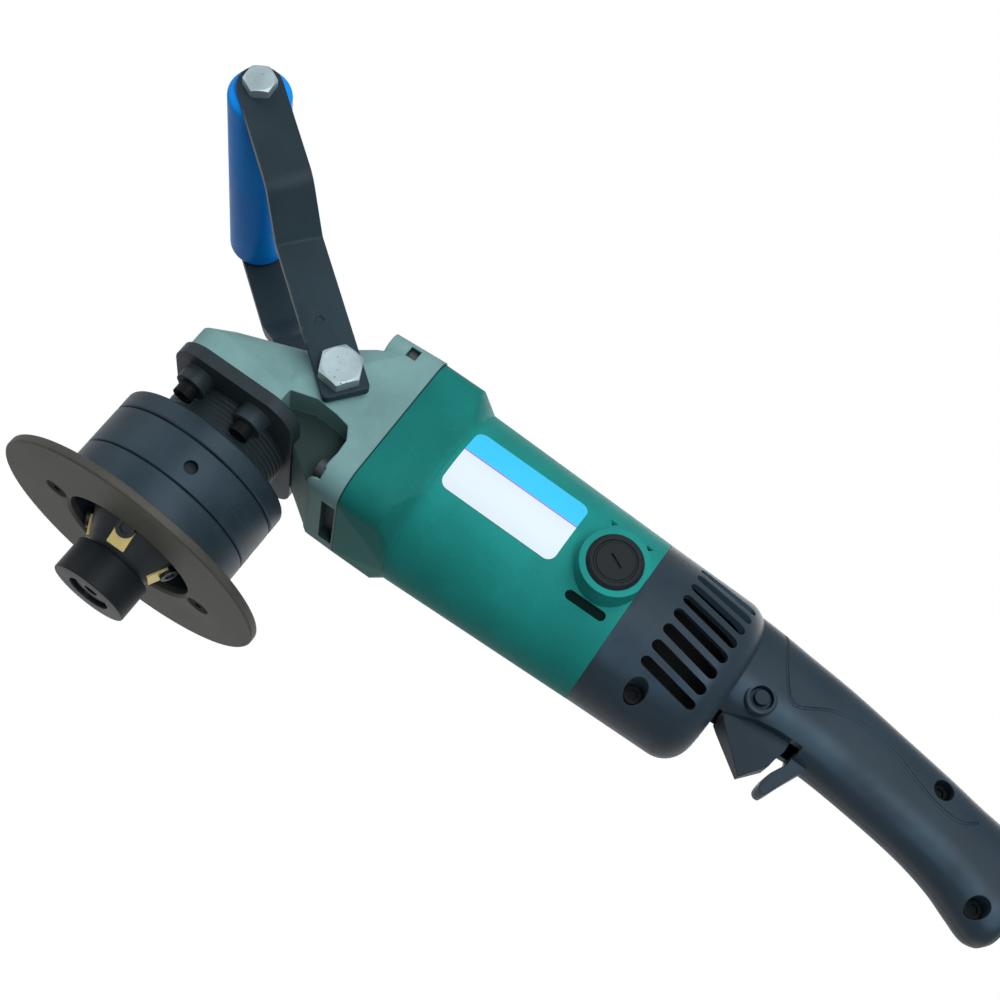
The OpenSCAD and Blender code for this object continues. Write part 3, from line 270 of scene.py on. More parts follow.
class Finish(Nodes):
    """A material under construction: its node tree and its Principled shader."""

    def __init__(self, name):
        self.material = bpy.data.materials.new(name)
        self.material.use_nodes = True
        super().__init__(self.material.node_tree)
        self.shader = self.tree.nodes["Principled BSDF"]

    def set(self, **sockets):
        """Feeds the shader's sockets, named with underscores for spaces."""
        for name, value in sockets.items():
            self.feed(self.shader.inputs[name.replace("_", " ")], value)

    def place(self):
        return self.node("ShaderNodeTexCoord", out="Object")

    def normal(self):
        return self.node("ShaderNodeNewGeometry", out="Normal")

    def round_normal(self, radius):
        """The normal with edges rounded to a radius in millimetres."""
        return self.node("ShaderNodeBevel", {"samples": 4}, {"Radius": radius * MM})

    def parts(self, vector):
        """X, Y and Z of a vector."""
        return self.node("ShaderNodeSeparateXYZ", {}, {0: vector}, out=("X", "Y", "Z"))

    def axes(self):
        """X, Y and Z of the place on the object."""
        return self.parts(self.place())

    def noise(self, scale, detail=3.0, roughness=0.55, stretch=(1, 1, 1)):
        """Noise between 0 and 1, with a scale per metre that may differ by axis."""
        spread = self.node("ShaderNodeVectorMath", {"operation": "MULTIPLY"}, {0: self.place(), 1: stretch})
        return self.node("ShaderNodeTexNoise", {}, {"Vector": spread, "Scale": scale, "Detail": detail,
                                                    "Roughness": roughness})

    def specks(self, scale, size):
        """1 in the middle of scattered small spots."""
        cells = self.node("ShaderNodeTexVoronoi", {}, {"Vector": self.place(), "Scale": scale}, "Distance")
        return 1 - cells.step(size * 0.5, size)

    def mix(self, factor, first, second):
        """A colour between two colours."""
        pick = [tone if isinstance(tone, Value) else (*tone[:3], 1.0) for tone in (first, second)]
        return self.node("ShaderNodeMix", {"data_type": "RGBA"},
                         {MIX_FACTOR: factor, MIX_FIRST: pick[0], MIX_SECOND: pick[1]}, MIX_RESULT)

    def drift(self, factor, tone, dark, light):
        """A colour between a darker and a lighter tone."""
        return self.mix(factor, scaled(tone, dark), scaled(tone, light))

    def coated(self, body, tone, *coats):
        """A colour under coats of a tone, each with a strength, if any, and a brightness."""
        for strength, brightness in coats:
            if strength:
                body = self.mix(strength, body, scaled(tone, brightness))
        return body

    def edges(self, radius):
        """About 1 along edges and 0 on plain surfaces."""
        match = self.node("ShaderNodeVectorMath", {"operation": "DOT_PRODUCT"},
                          {0: self.round_normal(radius), 1: self.normal()}, "Value")
        return (1 - match).step(0.02, 0.22)

    def done(self, height, depth, round_edges=0, **sockets):
        """The material, once its sockets are fed, with bumps of a depth over rounded edges."""
        bump = {"Height": height, "Distance": depth * MM, "Strength": 1.0}
        if round_edges:
            bump["Normal"] = self.round_normal(round_edges)
        self.set(Normal=self.node("ShaderNodeBump", {}, bump), **sockets)
        return self.material


def seam_shade(look, place):
    """Painted shade of up to 0.8 in a thin line across the motor axis, where two housings meet."""
    x, _, _ = look.axes()
    return (1 - (x - place).size().step(0.15 * MM, 0.5 * MM)) * 0.8


def moulded(name, tone, dark=None, painted_highlight=None):
    """Moulded plastic: fine grain, clouding, dust and worn edges, with painted shade where the dark mask
    gives it and a painted highlight, which also lowers the roughness, where the highlight mask gives it.
    """
    roughness, specular, grain_scale, grain_depth, round_edges = PLASTICS[name]
    look = Finish(name)
    cloud = look.noise(28, 4)
    grain = look.noise(grain_scale, 2, 0.6)
    dust = look.noise(160, 5, 0.7).step(0.56, 0.8)
    # A painted highlight, which also lowers the roughness
    highlight = painted_highlight and painted_highlight(look)
    body = look.coated(look.drift(cloud.step(0.3, 0.7), tone, 0.88, 1.12), tone, (dust * 0.16, 2.2),
                       (grain.step(0.45, 0.75) * 0.12, 1.8), (look.edges(0.7) * 0.22, 2.4),
                       (highlight, 3.2), (dark and dark(look), 0.05))
    rough = roughness + (cloud - 0.5) * 0.14 + (grain - 0.5) * 0.1
    if highlight:
        rough = rough - highlight * 0.12
    return look.done(grain, grain_depth, round_edges, Base_Color=body, Roughness=rough,
                     Specular_IOR_Level=specular)


def painted(name, tone, dark=None):
    """Paint on metal: soft orange peel, mottling, lighter chips along edges, painted shade where a mask says
    so.
    """
    roughness, specular, peel_scale, chip_light, round_edges = PAINTS[name]
    look = Finish(name)
    cloud = look.noise(22, 5, 0.6)
    chips = look.edges(0.9) * look.noise(420, 4, 0.65).step(0.5, 0.62)
    scuffs = look.noise(60, 6, 0.7, (1.0, 3.0, 1.0)).step(0.62, 0.78)
    body = look.coated(look.drift(cloud.step(0.28, 0.72), tone, 0.84, 1.13), tone,
                       (look.specks(330, 0.16) * 0.3, 0.6), (scuffs * 0.25, 1.5), (chips * 0.7, chip_light),
                       (dark and dark(look), 0.12))
    return look.done(look.noise(peel_scale, 3, 0.5), 0.12, round_edges, Base_Color=body,
                     Roughness=roughness + (cloud - 0.5) * 0.2 - chips * 0.1, Specular_IOR_Level=specular)


def turned(name, tone, dark=None):
    """Turned steel: rings round the spindle axis, stains, bright worn edges, painted shade where a mask says
    so.
    """
    roughness, metallic, pitch, depth, round_edges, worn = STEELS[name]
    look = Finish(name)
    x, y, z = look.axes()
    stain = look.noise(35, 5, 0.6)
    rings = (hypotenuse(x, y) + z).waves(pitch * MM, stain * 5)
    streak = look.noise(90, 3, 0.6, (0.3, 0.3, 9.0))
    body = look.coated(look.drift(stain.step(0.3, 0.7), tone, 0.78, 1.2), tone,
                       (streak.step(0.5, 0.8) * 0.35, 1.5), (look.edges(0.6) * worn, 3.2),
                       (dark and dark(look), 0.1))
    return look.done(rings * 0.6 + streak * 0.4, depth, round_edges, Base_Color=body, Metallic=metallic,
                     Roughness=roughness + (stain - 0.5) * 0.25 + rings * 0.06, Specular_IOR_Level=0.12)


def plain_metal(name, tone):
    """Plated, ground or cast metal: brushed grain, clouding and dark spots."""
    roughness, metallic, spots, round_edges, specular = METALS[name]
    look = Finish(name)
    brushed = look.noise(420, 4, 0.6, (1.0, 0.12, 1.0))
    cloud = look.noise(55, 5, 0.65)
    dirt = look.specks(420, 0.2) * look.noise(120, 2).step(0.45, 0.62) * spots
    body = look.coated(look.drift(cloud.step(0.3, 0.7), tone, 0.84, 1.08), tone, (dirt, 0.2))
    rough = roughness + (brushed - 0.5) * 0.16 + (cloud - 0.5) * 0.12
    return look.done(brushed, 0.03, round_edges, Base_Color=body, Metallic=metallic, Roughness=rough,
                     Specular_IOR_Level=specular)


def wound(name, tone):
    """Enamelled wire: close parallel turns with a varnish sheen."""
    look = Finish(name)
    x, y, _ = look.axes()
    turns = (x + 0.3 * y).waves(0.9 * MM)
    cloud = look.noise(80, 4)
    body = look.mix(turns, scaled(tone, 0.55), look.drift(cloud, tone, 0.9, 1.2))
    return look.done(turns, 0.25, Base_Color=body, Metallic=0.6, Roughness=0.35 + (cloud - 0.5) * 0.2)


def laminated(name, tone):
    """Stacked electrical sheets: fine edges along the motor axis, with a little rust."""
    look = Finish(name)
    x, _, _ = look.axes()
    sheets = x.waves(0.7 * MM)
    rust = look.noise(60, 5, 0.65).step(0.55, 0.8)
    body = look.mix(rust * 0.35, look.drift(sheets, tone, 0.6, 1), (0.16, 0.08, 0.04))
    return look.done(sheets, 0.08, Base_Color=body, Metallic=0.7, Roughness=0.5 + rust * 0.25)


def printed_label(name, tones, line_z, line_half):
    """Printed film: a white field, a blue field above it and a thin line between them."""
    look = Finish(name)
    _, _, z = look.axes()
    cloud = look.noise(45, 4)
    fields = look.mix(z.above(line_z), look.drift(cloud, tones.label_white, 0.96, 1.02),
                      look.drift(cloud, tones.label_blue, 0.94, 1.05))
    body = look.mix(z.between(line_z - line_half, line_z + line_half), fields, tones.label_line)
    return look.done(look.noise(900, 2), 0.01, Base_Color=body, Roughness=0.38 + (cloud - 0.5) * 0.12,
                     Specular_IOR_Level=0.35)


# Mesh tools

WELD_DISTANCE = 0.004 * MM
SOFT_ANGLE = 35


def face_outwards(mesh):
    """Turns every face of a closed mesh outwards."""
    shape = bmesh.new()
    shape.from_mesh(mesh)
    bmesh.ops.recalc_face_normals(shape, faces=shape.faces)
    shape.to_mesh(mesh)
    shape.free()


def add_piece(name, vertices, faces):
    """A new mesh object in the scene."""
    mesh = bpy.data.meshes.new(name)
    mesh.from_pydata([tuple(v) for v in vertices], [], faces)
    mesh.validate()
    face_outwards(mesh)
    piece = bpy.data.objects.new(name, mesh)
    bpy.context.scene.collection.objects.link(piece)
    return piece


def pair(name, make):
    """One piece of bodies on both sides: make gives the vertices and faces of each body of a side."""
    vertices, faces = [], []
    for side in (-1, 1):
        for points, flats in make(side):
            faces += [tuple(i + len(vertices) for i in flat) for flat in flats]
            vertices += points
    return add_piece(name, vertices, faces)


def remove_piece(piece):
    """Takes a piece and its mesh out of the scene."""
    mesh = piece.data
    bpy.data.objects.remove(piece)
    bpy.data.meshes.remove(mesh)


def round_angles(count):
    """Angles of a full turn."""
    return [2 * pi * k / count for k in range(count)]


def quarter_angles(steps):
    """Angles of a quarter turn, with both ends."""
    return [pi / 2 * i / steps for i in range(steps + 1)]


def skin(rings):
    """Vertices and faces of a closed body through rings of equal length, with flat ends."""
    count = len(rings[0])
    vertices = [v for ring in rings for v in ring]
    faces = [tuple(reversed(range(count)))]
    for i in range(len(rings) - 1):
        low, high = i * count, (i + 1) * count
        faces += [(low + k, low + (k + 1) % count, high + (k + 1) % count, high + k) for k in range(count)]
    faces.append(tuple(range((len(rings) - 1) * count, len(rings) * count)))
    return vertices, faces


def lathe(profile, place, count=64):
    """A body from a profile of radius and height, turned about Z and then placed by a matrix."""
    return skin([[place @ Vector((radius * cos(a), radius * sin(a), height))
                  for a in round_angles(count)] for radius, height in profile])


def rounded(radius, low, high, round_low, round_high, steps=6):
    """Profile of a cylinder with rounded ends."""
    start = [(radius - round_low * (1 - sin(a)), low + round_low * (1 - cos(a)))
             for a in quarter_angles(steps)]
    end = [(radius - round_high * (1 - cos(a)), high - round_high * (1 - sin(a)))
           for a in quarter_angles(steps)]
    return start + end


def along_y(x, z, side):
    """Places a piece drawn along Z so that it points out to the near side, -1, or the far side, 1."""
    return Matrix.Translation((x, 0, z)) @ Matrix.Rotation(-side * pi / 2, 4, "X")


def along_x(x):
    """Places a piece drawn along Z so that it runs back along the motor axis."""
    return Matrix.Translation((x, 0, MOTOR_Z)) @ Matrix.Rotation(pi / 2, 4, "Y")


def settle(piece):
    """Makes the piece's modifiers part of its mesh."""
    shaped = piece.evaluated_get(bpy.context.evaluated_depsgraph_get())
    mesh = bpy.data.meshes.new_from_object(shaped)
    piece.modifiers.clear()
    old = piece.data
    piece.data = mesh
    bpy.data.meshes.remove(old)


def carve(piece, tool, operation="DIFFERENCE"):
    """Cuts, joins or intersects the piece with a tool."""
    step = piece.modifiers.new("carve", "BOOLEAN")
    step.operation = operation
    step.solver = "EXACT"
    step.object = tool
    settle(piece)
    if not piece.data.polygons:
        raise RuntimeError(f"{piece.name} is empty after {operation.lower()} with {tool.name}")
    remove_piece(tool)


def block(name, low, high):
    """A box between two corners, for cutting."""
    corners = [(x, y, z) for x in (low[0], high[0]) for y in (low[1], high[1]) for z in (low[2], high[2])]
    faces = [(0, 1, 3, 2), (4, 6, 7, 5), (0, 4, 5, 1), (2, 3, 7, 6), (0, 2, 6, 4), (1, 5, 7, 3)]
    return add_piece(name, corners, faces)


def prism(name, outline, place, depth):
    """A flat outline in X and Z, given a depth along Y and then placed by a matrix."""
    rings = [[place @ Vector((x, y, z)) for x, z in outline] for y in (0.0, depth)]
    return add_piece(name, *skin(rings))


def stadium(long, wide, steps=10):
    """Outline of a slot with round ends, from its left end."""
    radius = wide / 2
    outline = []
    for centre, start in ((long - radius, -90), (radius, 90)):
        for i in range(steps + 1):
            angle = radians(start + 180 * i / steps)
            outline.append((centre + radius * cos(angle), radius * sin(angle)))
    return outline


def shade(piece, angle=32):
    """Smooth shading that keeps edges sharper than the angle."""
    face_outwards(piece.data)
    piece.data.polygons.foreach_set("use_smooth", [True] * len(piece.data.polygons))
    piece.data.set_sharp_from_angle(angle=radians(angle))


def bevel(piece, width, segments=2, angle=40):
    """A rounded edge on every edge sharper than the angle."""
    step = piece.modifiers.new("round edges", "BEVEL")
    step.width = width
    step.segments = segments
    step.limit_method = "ANGLE"
    step.angle_limit = radians(angle)


def smooth_group():
    """A node group that turns smooth shading on for a whole mesh."""
    name = "shade smooth"
    if name in bpy.data.node_groups:
        return bpy.data.node_groups[name]
    group = bpy.data.node_groups.new(name, "GeometryNodeTree")
    for way in ("INPUT", "OUTPUT"):
        group.interface.new_socket("Geometry", in_out=way, socket_type="NodeSocketGeometry")
    start, smooth, end = (group.nodes.new(kind) for kind in
                          ("NodeGroupInput", "GeometryNodeSetShadeSmooth", "NodeGroupOutput"))
    group.links.new(start.outputs[0], smooth.inputs[0])
    group.links.new(smooth.outputs[0], end.inputs[0])
    return group


def soften(piece, width, segments):
    """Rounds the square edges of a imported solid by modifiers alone."""
    piece.modifiers.new("weld", "WELD").merge_threshold = WELD_DISTANCE
    bevel(piece, width, segments, SOFT_ANGLE)
    piece.modifiers.new("smooth", "NODES").node_group = smooth_group()
    piece.modifiers.new("weighted normals", "WEIGHTED_NORMAL").keep_sharp = True


def dress(material, *nodes, soft=0.0, segments=2):
    """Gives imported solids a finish, and rounded edges where a width in millimetres is given."""
    for node in nodes:
        mesh = NODES[node].data
        mesh.materials.clear()
        mesh.materials.append(material)
        if soft:
            soften(NODES[node], soft * MM, segments)


def finish_piece(piece, material, body, slot, *stands_for):
    """Finish, body, slot, which is not used, and the solids that a new piece stands for."""
    piece.data.materials.clear()
    piece.data.materials.append(material)
    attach(piece, body)
    if stands_for:
        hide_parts(*stands_for)


# Rear handle, in millimetres behind the motor and above its axis

DRUM_R, DRUM_END_R, DRUM_LEN, DRUM_ROUND, DRUM_LIP, DRUM_POINTS = 39.4, 38.6, 53.5, 13.0, 1.5, 112
SECTION_POWER, SECTION_POINTS, STATION_STEPS = 2.5, 72, 9
# Distance, middle's height, half height, half width
HANDLE_STATIONS = [
    (43, 12.4, 23.8, 24), (57, 12.4, 23.4, 22.5), (75, 12.2, 22.2, 20.5), (97, 11.7, 20.9, 18.5),
    (123, 8.8, 20.2, 17.5), (150, 4.9, 20, 17.5), (167, 1.2, 20.6, 18), (179, -2.1, 22.3, 18.5),
    (188, -4.6, 23.2, 19), (194, -5, 22, 18), (196.7, -5, 19.5, 15.5),
]
# Line moulded into the sides
GROOVE = [
    (60.5, 33), (62.3, 29), (64.3, 24), (66.8, 19.1), (71.1, 12.3), (74.7, 8.1), (77, 6.6), (79, 6.3),
    (81.5, 7.2), (84.3, 9), (91.7, 13.7), (99, 16.2), (107, 17.3), (114.3, 16.9), (125.3, 14.6),
    (137.4, 10.2), (148.8, 6.9), (157.4, 6.1), (162.6, 7.9), (166, 11),
]
GROOVE_POINTS = 10
# Shell screws: distance, height, depth of the head's seat; radii of post, head's hole and shank's hole; reach
SHELL_SCREWS = [(21.5, -30, 17), (147.8, 14.4, 8), (182.2, -18.7, 8)]
POST_R, HEAD_HOLE_R, SHANK_HOLE_R, OUTSIDE = 6.5, 4.6, 2.05, 45
# Vents: distance, angle of the top one, step and slant in degrees, room outside and depth of the cut
VENT_X, VENT_TOP, VENT_STEP, VENT_SLANT, VENT_OUT, VENT_CUT = 16.0, 51.0, 11.7, 11.0, 3, 11
# Lock button: place, radius of its hole; collar's radius, start, height over the side and roundings
BUTTON_X = ((BUTTON_LOW.x + BUTTON_HIGH.x) / 2 - DRUM_X) / MM
BUTTON_Z = ((BUTTON_LOW.z + BUTTON_HIGH.z) / 2 - MOTOR_Z) / MM
BUTTON_HOLE_R, COLLAR_R, COLLAR_START, COLLAR_LIFT, COLLAR_ROUND = 5.1, 6.9, 8, 1.0, (0.1, 0.9)
# Slot of the trigger: ends, lower and upper end, half width
TRIGGER_SLOT, TRIGGER_SLOT_Z, TRIGGER_HALF = (53.9, 89.8), (-11.4, 3.5), 9.6
# Finger spur behind the trigger: outline, half width, rounding
SPUR = [(90.3, -2), (89.9, -11), (88.1, -15), (85.9, -19.4), (85, -24), (85.1, -26.6), (86.3, -28),
        (88, -28.3), (89.5, -27), (93, -18.9), (96.8, -10.9), (99.9, -4), (99.9, -2)]
SPUR_HALF, SPUR_ROUND = 6.0, 1.6
# Room for the finger, cut from the handle's underside
THROAT = [(54.2, -70), (54.2, -11), (57.5, -10), (68.5, -6.4), (78.5, -5), (90.6, -4.4), (90.6, -70)]
THROAT_HALF = 100
# Hole of the cord inlet: height, radius, depth from the handle's end, length of the tool
INLET_Z, INLET_R, INLET_DEPTH, INLET_TOOL = -5.5, 9.06, 24.0, 50
# Dark sheet inside the drum, painted shade behind the vents: ends, lower edge, gap to the drum, thickness,
# rounding
SHEET_X, SHEET_LOW, SHEET_GAP, SHEET_T, SHEET_ROUND = (12.0, 49.0), -20.0, 0.5, 1.6, 0.4
SHEET_STEPS = 16
# Painted highlight on the lower flanks: direction they face, out and up, match with it, strength
FLANK, FLANK_MATCH, FLANK_HIGHLIGHT = (0.88, -0.475), (0.91, 1.0), 0.6
# Room round the whole handle, in metres: front, back, half width, height
ROOM_FRONT, ROOM_BACK, ROOM_HALF, ROOM_HIGH = 0.1, 0.5, 0.1, 0.3


def behind(x, y, z):
    """A place in metres from millimetres behind the motor, to the far side and above the motor axis."""
    return Vector((DRUM_X + x * MM, y * MM, MOTOR_Z + z * MM))


def hermite(start, end, out, into, t):
    """A value on a smooth curve between two values, with the slopes at both."""
    return ((1 + 2 * t) * (1 - t) ** 2 * start + t * t * (3 - 2 * t) * end
            + t * (1 - t) ** 2 * out + t * t * (t - 1) * into)


def curve_through(rows, steps):
    """Rows between the given rows, along a smooth curve over the first column."""
    def slope(i, column):
        before, after = rows[max(i - 1, 0)], rows[min(i + 1, len(rows) - 1)]
        return (after[column] - before[column]) / (after[0] - before[0])
    smooth = []
    for i in range(len(rows) - 1):
        row, following = rows[i], rows[i + 1]
        span = following[0] - row[0]
        for t in (s / steps for s in range(steps)):
            smooth.append([row[0] + t * span] + [
                hermite(row[c], following[c], span * slope(i, c), span * slope(i + 1, c), t)
                for c in range(1, len(row))])
    return smooth + [list(rows[-1])]


def smooth_path(points, steps):
    """A smooth curve through points in a plane."""
    path = []
    for i in range(len(points) - 1):
        before, start = points[max(i - 1, 0)], points[i]
        end, after = points[i + 1], points[min(i + 2, len(points) - 1)]
        for t in (s / steps for s in range(steps)):
            path.append(tuple(hermite(start[k], end[k], (end[k] - before[k]) / 2,
                                      (after[k] - start[k]) / 2, t) for k in (0, 1)))
    return path + [tuple(points[-1])]


def handle_rings(wall):
    """Sections of the handle, shrunk by a wall, in metres."""
    rings = []
    power = 2 / SECTION_POWER
    for x, middle, half_z, half_y in curve_through(HANDLE_STATIONS, STATION_STEPS):
        ring = []
        for angle in round_angles(SECTION_POINTS):
            across, up = (copysign(abs(part) ** power, part) for part in (cos(angle), sin(angle)))
            ring.append(behind(x, across * (half_y - wall), middle + up * (half_z - wall)))
        rings.append(ring)
    return rings


def handle_surface(x, z):
    """Half width of the handle at a place on its side, in millimetres."""
    rows = curve_through(HANDLE_STATIONS, STATION_STEPS)
    _, middle, half_z, half_y = max((row for row in rows if row[0] <= x), key=lambda row: row[0])
    share = min(1.0, abs(z - middle) / half_z)
    return half_y * (1 - share ** SECTION_POWER) ** (1 / SECTION_POWER)


def drum(name, wall):
    """The drum with its rounded rear edge, shrunk by a wall and then open in front."""
    front = -1.0 if wall else 0.0
    profile = [(DRUM_R - wall, front), (DRUM_R - wall, DRUM_LIP)]
    profile += [(DRUM_END_R - wall - DRUM_ROUND * (1 - cos(a)),
                 DRUM_LEN - wall - DRUM_ROUND * (1 - sin(a))) for a in quarter_angles(12)]
    return add_piece(name, *lathe([(r * MM, h * MM) for r, h in profile], along_x(DRUM_X), DRUM_POINTS))


def handle_prism(name, outline, half):
    """A flat outline along the handle's middle, with a half width."""
    points = [(DRUM_X + x * MM, MOTOR_Z + z * MM) for x, z in outline]
    return prism(name, points, Matrix.Translation((0, -half * MM, 0)), 2 * half * MM)


def vent_tools(sizes):
    """Slanted slots that cut through the drum's wall on both sides."""
    tools = []
    outline = stadium(sizes.vent_length, sizes.vent_width)
    for i in range(sizes.vent_count):
        lift = radians(VENT_TOP - i * VENT_STEP)
        for side in (1, -1):
            place = (Matrix.Translation((DRUM_X + VENT_X * MM, 0, MOTOR_Z)) @ Matrix.Scale(side, 4, (0, 1, 0))
                     @ Matrix.Rotation(-lift, 4, "X") @ Matrix.Translation((0, -(DRUM_R + VENT_OUT) * MM, 0))
                     @ Matrix.Rotation(radians(VENT_SLANT), 4, "Y"))
            tools.append(prism("vent tool", outline, place, VENT_CUT * MM))
    return tools


def groove_tool(radius, side):
    """A bent rod along the moulded line, which cuts it half deep into the handle's side."""
    path = [behind(x, side * handle_surface(x, z), z) for x, z in smooth_path(GROOVE, 6)]
    rings = []
    for i, point in enumerate(path):
        ahead = (path[min(i + 1, len(path) - 1)] - path[max(i - 1, 0)]).normalized()
        across = ahead.cross(Vector((0, side, 0))).normalized()
        out = across.cross(ahead)
        rings.append([point + radius * (cos(a) * across + sin(a) * out)
                      for a in round_angles(GROOVE_POINTS)])
    return add_piece("groove tool", *skin(rings))


def rod_tool(x, z, low, high, radius, count=40):
    """A plain rod across the handle, between two distances out to the near side."""
    profile = [(radius * MM, low * MM), (radius * MM, high * MM)]
    return add_piece("rod tool", *lathe(profile, along_y(DRUM_X + x * MM, MOTOR_Z + z * MM, -1), count))


def shade_sheet_outline(wall):
    """Outline of the dark sheet inside the drum, painted shade behind the vents: straight below, and round
    the drum's inside above.
    """
    radius = DRUM_END_R - wall - SHEET_GAP
    outline = []
    for i in range(SHEET_STEPS + 1):
        x = SHEET_X[0] + (SHEET_X[1] - SHEET_X[0]) * i / SHEET_STEPS
        inside = max(0.0, x - (DRUM_LEN - wall - DRUM_ROUND))
        outline.append((x, radius - DRUM_ROUND + sqrt(max(0.0, DRUM_ROUND ** 2 - inside ** 2))))
    return outline + [(SHEET_X[1], SHEET_LOW), (SHEET_X[0], SHEET_LOW)]


class BEVELER_OT_rear_handle(bpy.types.Operator):
    """Two moulded shells with vents, a drum, a finger spur and the trigger's slot"""

    bl_idname = "beveler.rear_handle"
    bl_label = "Rear handle"

    def flank_highlight(self, look):
        """A painted highlight, strongest along the lower flanks, in patches."""
        _, side, up = look.parts(look.normal())
        flank = (side.size() * FLANK[0] + up * FLANK[1]).step(*FLANK_MATCH)
        return flank * look.noise(24, 3).step(0.25, 0.7) * FLANK_HIGHLIGHT

    def outside(self):
        """The handle in full, with its drum, room for the finger, spur and lock button's collar."""
        body = add_piece("handle body", *skin(handle_rings(0)))
        carve(body, drum("drum", 0), "UNION")
        carve(body, handle_prism("throat", THROAT, THROAT_HALF))
        spur = handle_prism("spur", smooth_path(SPUR, 4), SPUR_HALF)
        bevel(spur, SPUR_ROUND * MM, 3)
        settle(spur)
        carve(body, spur, "UNION")
        collar = rounded(COLLAR_R * MM, COLLAR_START * MM,
                         handle_surface(BUTTON_X, BUTTON_Z) * MM + COLLAR_LIFT * MM,
                         COLLAR_ROUND[0] * MM, COLLAR_ROUND[1] * MM)
        place = along_y(DRUM_X + BUTTON_X * MM, MOTOR_Z + BUTTON_Z * MM, -1)
        carve(body, add_piece("collar", *lathe(collar, place)), "UNION")
        return body

    def inside(self, wall):
        """The hollow, without the screws' posts and the end wall."""
        hollow = add_piece("hollow", *skin(handle_rings(wall)))
        carve(hollow, drum("drum hollow", wall), "UNION")
        for x, z, _ in SHELL_SCREWS:
            carve(hollow, rod_tool(x, z, -OUTSIDE, OUTSIDE, POST_R))
        end = DRUM_X + (HANDLE_STATIONS[-1][0] - wall) * MM
        carve(hollow, block("end wall", (end, -ROOM_HALF, 0), (ROOM_BACK, ROOM_HALF, ROOM_HIGH)))
        return hollow

    def openings(self, body, sizes):
        """Cuts the vents, the slots and holes, and the moulded line."""
        for tool in vent_tools(sizes):
            carve(body, tool)
        low, high = (behind(TRIGGER_SLOT[end], side * TRIGGER_HALF, TRIGGER_SLOT_Z[end])
                     for end, side in ((0, -1), (1, 1)))
        carve(body, block("trigger slot", low, high))
        carve(body, rod_tool(BUTTON_X, BUTTON_Z, 0, 40, BUTTON_HOLE_R))
        for x, z, seat in SHELL_SCREWS:
            carve(body, rod_tool(x, z, seat - 1, OUTSIDE, HEAD_HOLE_R))
            carve(body, rod_tool(x, z, -seat, seat, SHANK_HOLE_R, 24))
        inlet = [(INLET_R * MM, 0), (INLET_R * MM, INLET_TOOL * MM)]
        start = DRUM_X + (HANDLE_STATIONS[-1][0] - INLET_DEPTH) * MM
        place = Matrix.Translation((0, 0, INLET_Z * MM)) @ along_x(start)
        carve(body, add_piece("inlet tool", *lathe(inlet, place)))
        for side in (-1, 1):
            carve(body, groove_tool(sizes.groove_radius, side))

    def baffle(self, wall):
        """A near-black sheet inside the drum, as painted shade seen through the vents."""
        baffle = handle_prism("air_baffle", shade_sheet_outline(wall), SHEET_T / 2)
        bevel(baffle, SHEET_ROUND * MM)
        shade(baffle)
        # Near black, as painted shade behind the vents
        finish_piece(baffle, moulded("baffle board", linear("#0D0E0F")), "frame", "black_plastic")

    def execute(self, context):
        sizes = context.scene.beveler_sizes
        black = context.scene.beveler_colours.handle_black
        wall = sizes.shell_wall / MM
        body = self.outside()
        carve(body, self.inside(wall))
        self.openings(body, sizes)
        # The handle's plastic gets a painted highlight along its lower flanks
        material = moulded("black moulded plastic", black, painted_highlight=self.flank_highlight)
        for name, node, side in (("handle_left", "handle_shell_left", -1),
                                 ("handle_right", "handle_shell_right", 1)):
            shell = bpy.data.objects.new(name, body.data.copy())
            context.scene.collection.objects.link(shell)
            near, far = sorted((side * sizes.seam, side * ROOM_HALF))
            half = block("half", (ROOM_FRONT, near, 0), (ROOM_BACK, far, ROOM_HIGH))
            carve(shell, half, "INTERSECT")
            shade(shell, 30)
            finish_piece(shell, material, "frame", "black_plastic", node)
        remove_piece(body)
        self.baffle(wall)
        switch = moulded("switch black plastic", scaled(black, 0.8))
        dress(switch, "trigger", soft=1.2, segments=3)
        dress(switch, "lock_button", soft=0.5, segments=3)
        dress(moulded("soft rubber", scaled(black, 0.6)), "cord_inlet", soft=0.7, segments=3)
        return {"FINISHED"}


# Bail handle, in millimetres along the arm from its pivot

# Length from pivot to grip, and angle in degrees
BAIL_LEN, BAIL_ANGLE = 128.7, 142.2
ARM_W, ARM_T, ARM_START, ARM_CORNER, ARM_ROUND = 20.0, 4.5, -10.3, 2.0, 0.7
# Half width left at the very end of the round
ARM_TIP = 0.3
BEND_START, BEND_LEN = 65.0, 18.0
# Dimple: place along and across, radius, depth, rounding, length of the tool
DIMPLE_X, DIMPLE_Z, DIMPLE_R, DIMPLE_DEPTH, DIMPLE_ROUND, DIMPLE_TOOL = 24.8, 2.0, 2.3, 0.9, 1.2, 6
# Gap under the pivot bolts' heads
WASHER = 0.3
GRIP_ROUND = 3.2
# Bolt head: points, disc against the flats, flat and dish against the disc, dish depth, chamfer in degrees
HEAD_POINTS, HEAD_DISC, HEAD_FLAT, HEAD_DISH, DISH_DEPTH, HEAD_CHAMFER = 96, 0.47, 0.98, 0.9, 0.12, 30


def rounded_path(points, radius, steps=8):
    """A path through points in a plane, with its corners rounded."""
    path = [Vector(points[0])]
    for before, corner, after in zip(points, points[1:], points[2:]):
        corner = Vector(corner)
        back, ahead = (Vector(before) - corner).normalized(), (Vector(after) - corner).normalized()
        half = acos(max(-1.0, min(1.0, back.dot(ahead)))) / 2
        reach = radius / tan(half)
        middle = corner + (back + ahead).normalized() * (radius / sin(half))
        start, end = corner + back * reach - middle, corner + ahead * reach - middle
        for t in (i / steps for i in range(steps + 1)):
            path.append(middle + (start * (1 - t) + end * t).normalized() * radius)
    return path + [Vector(points[-1])]


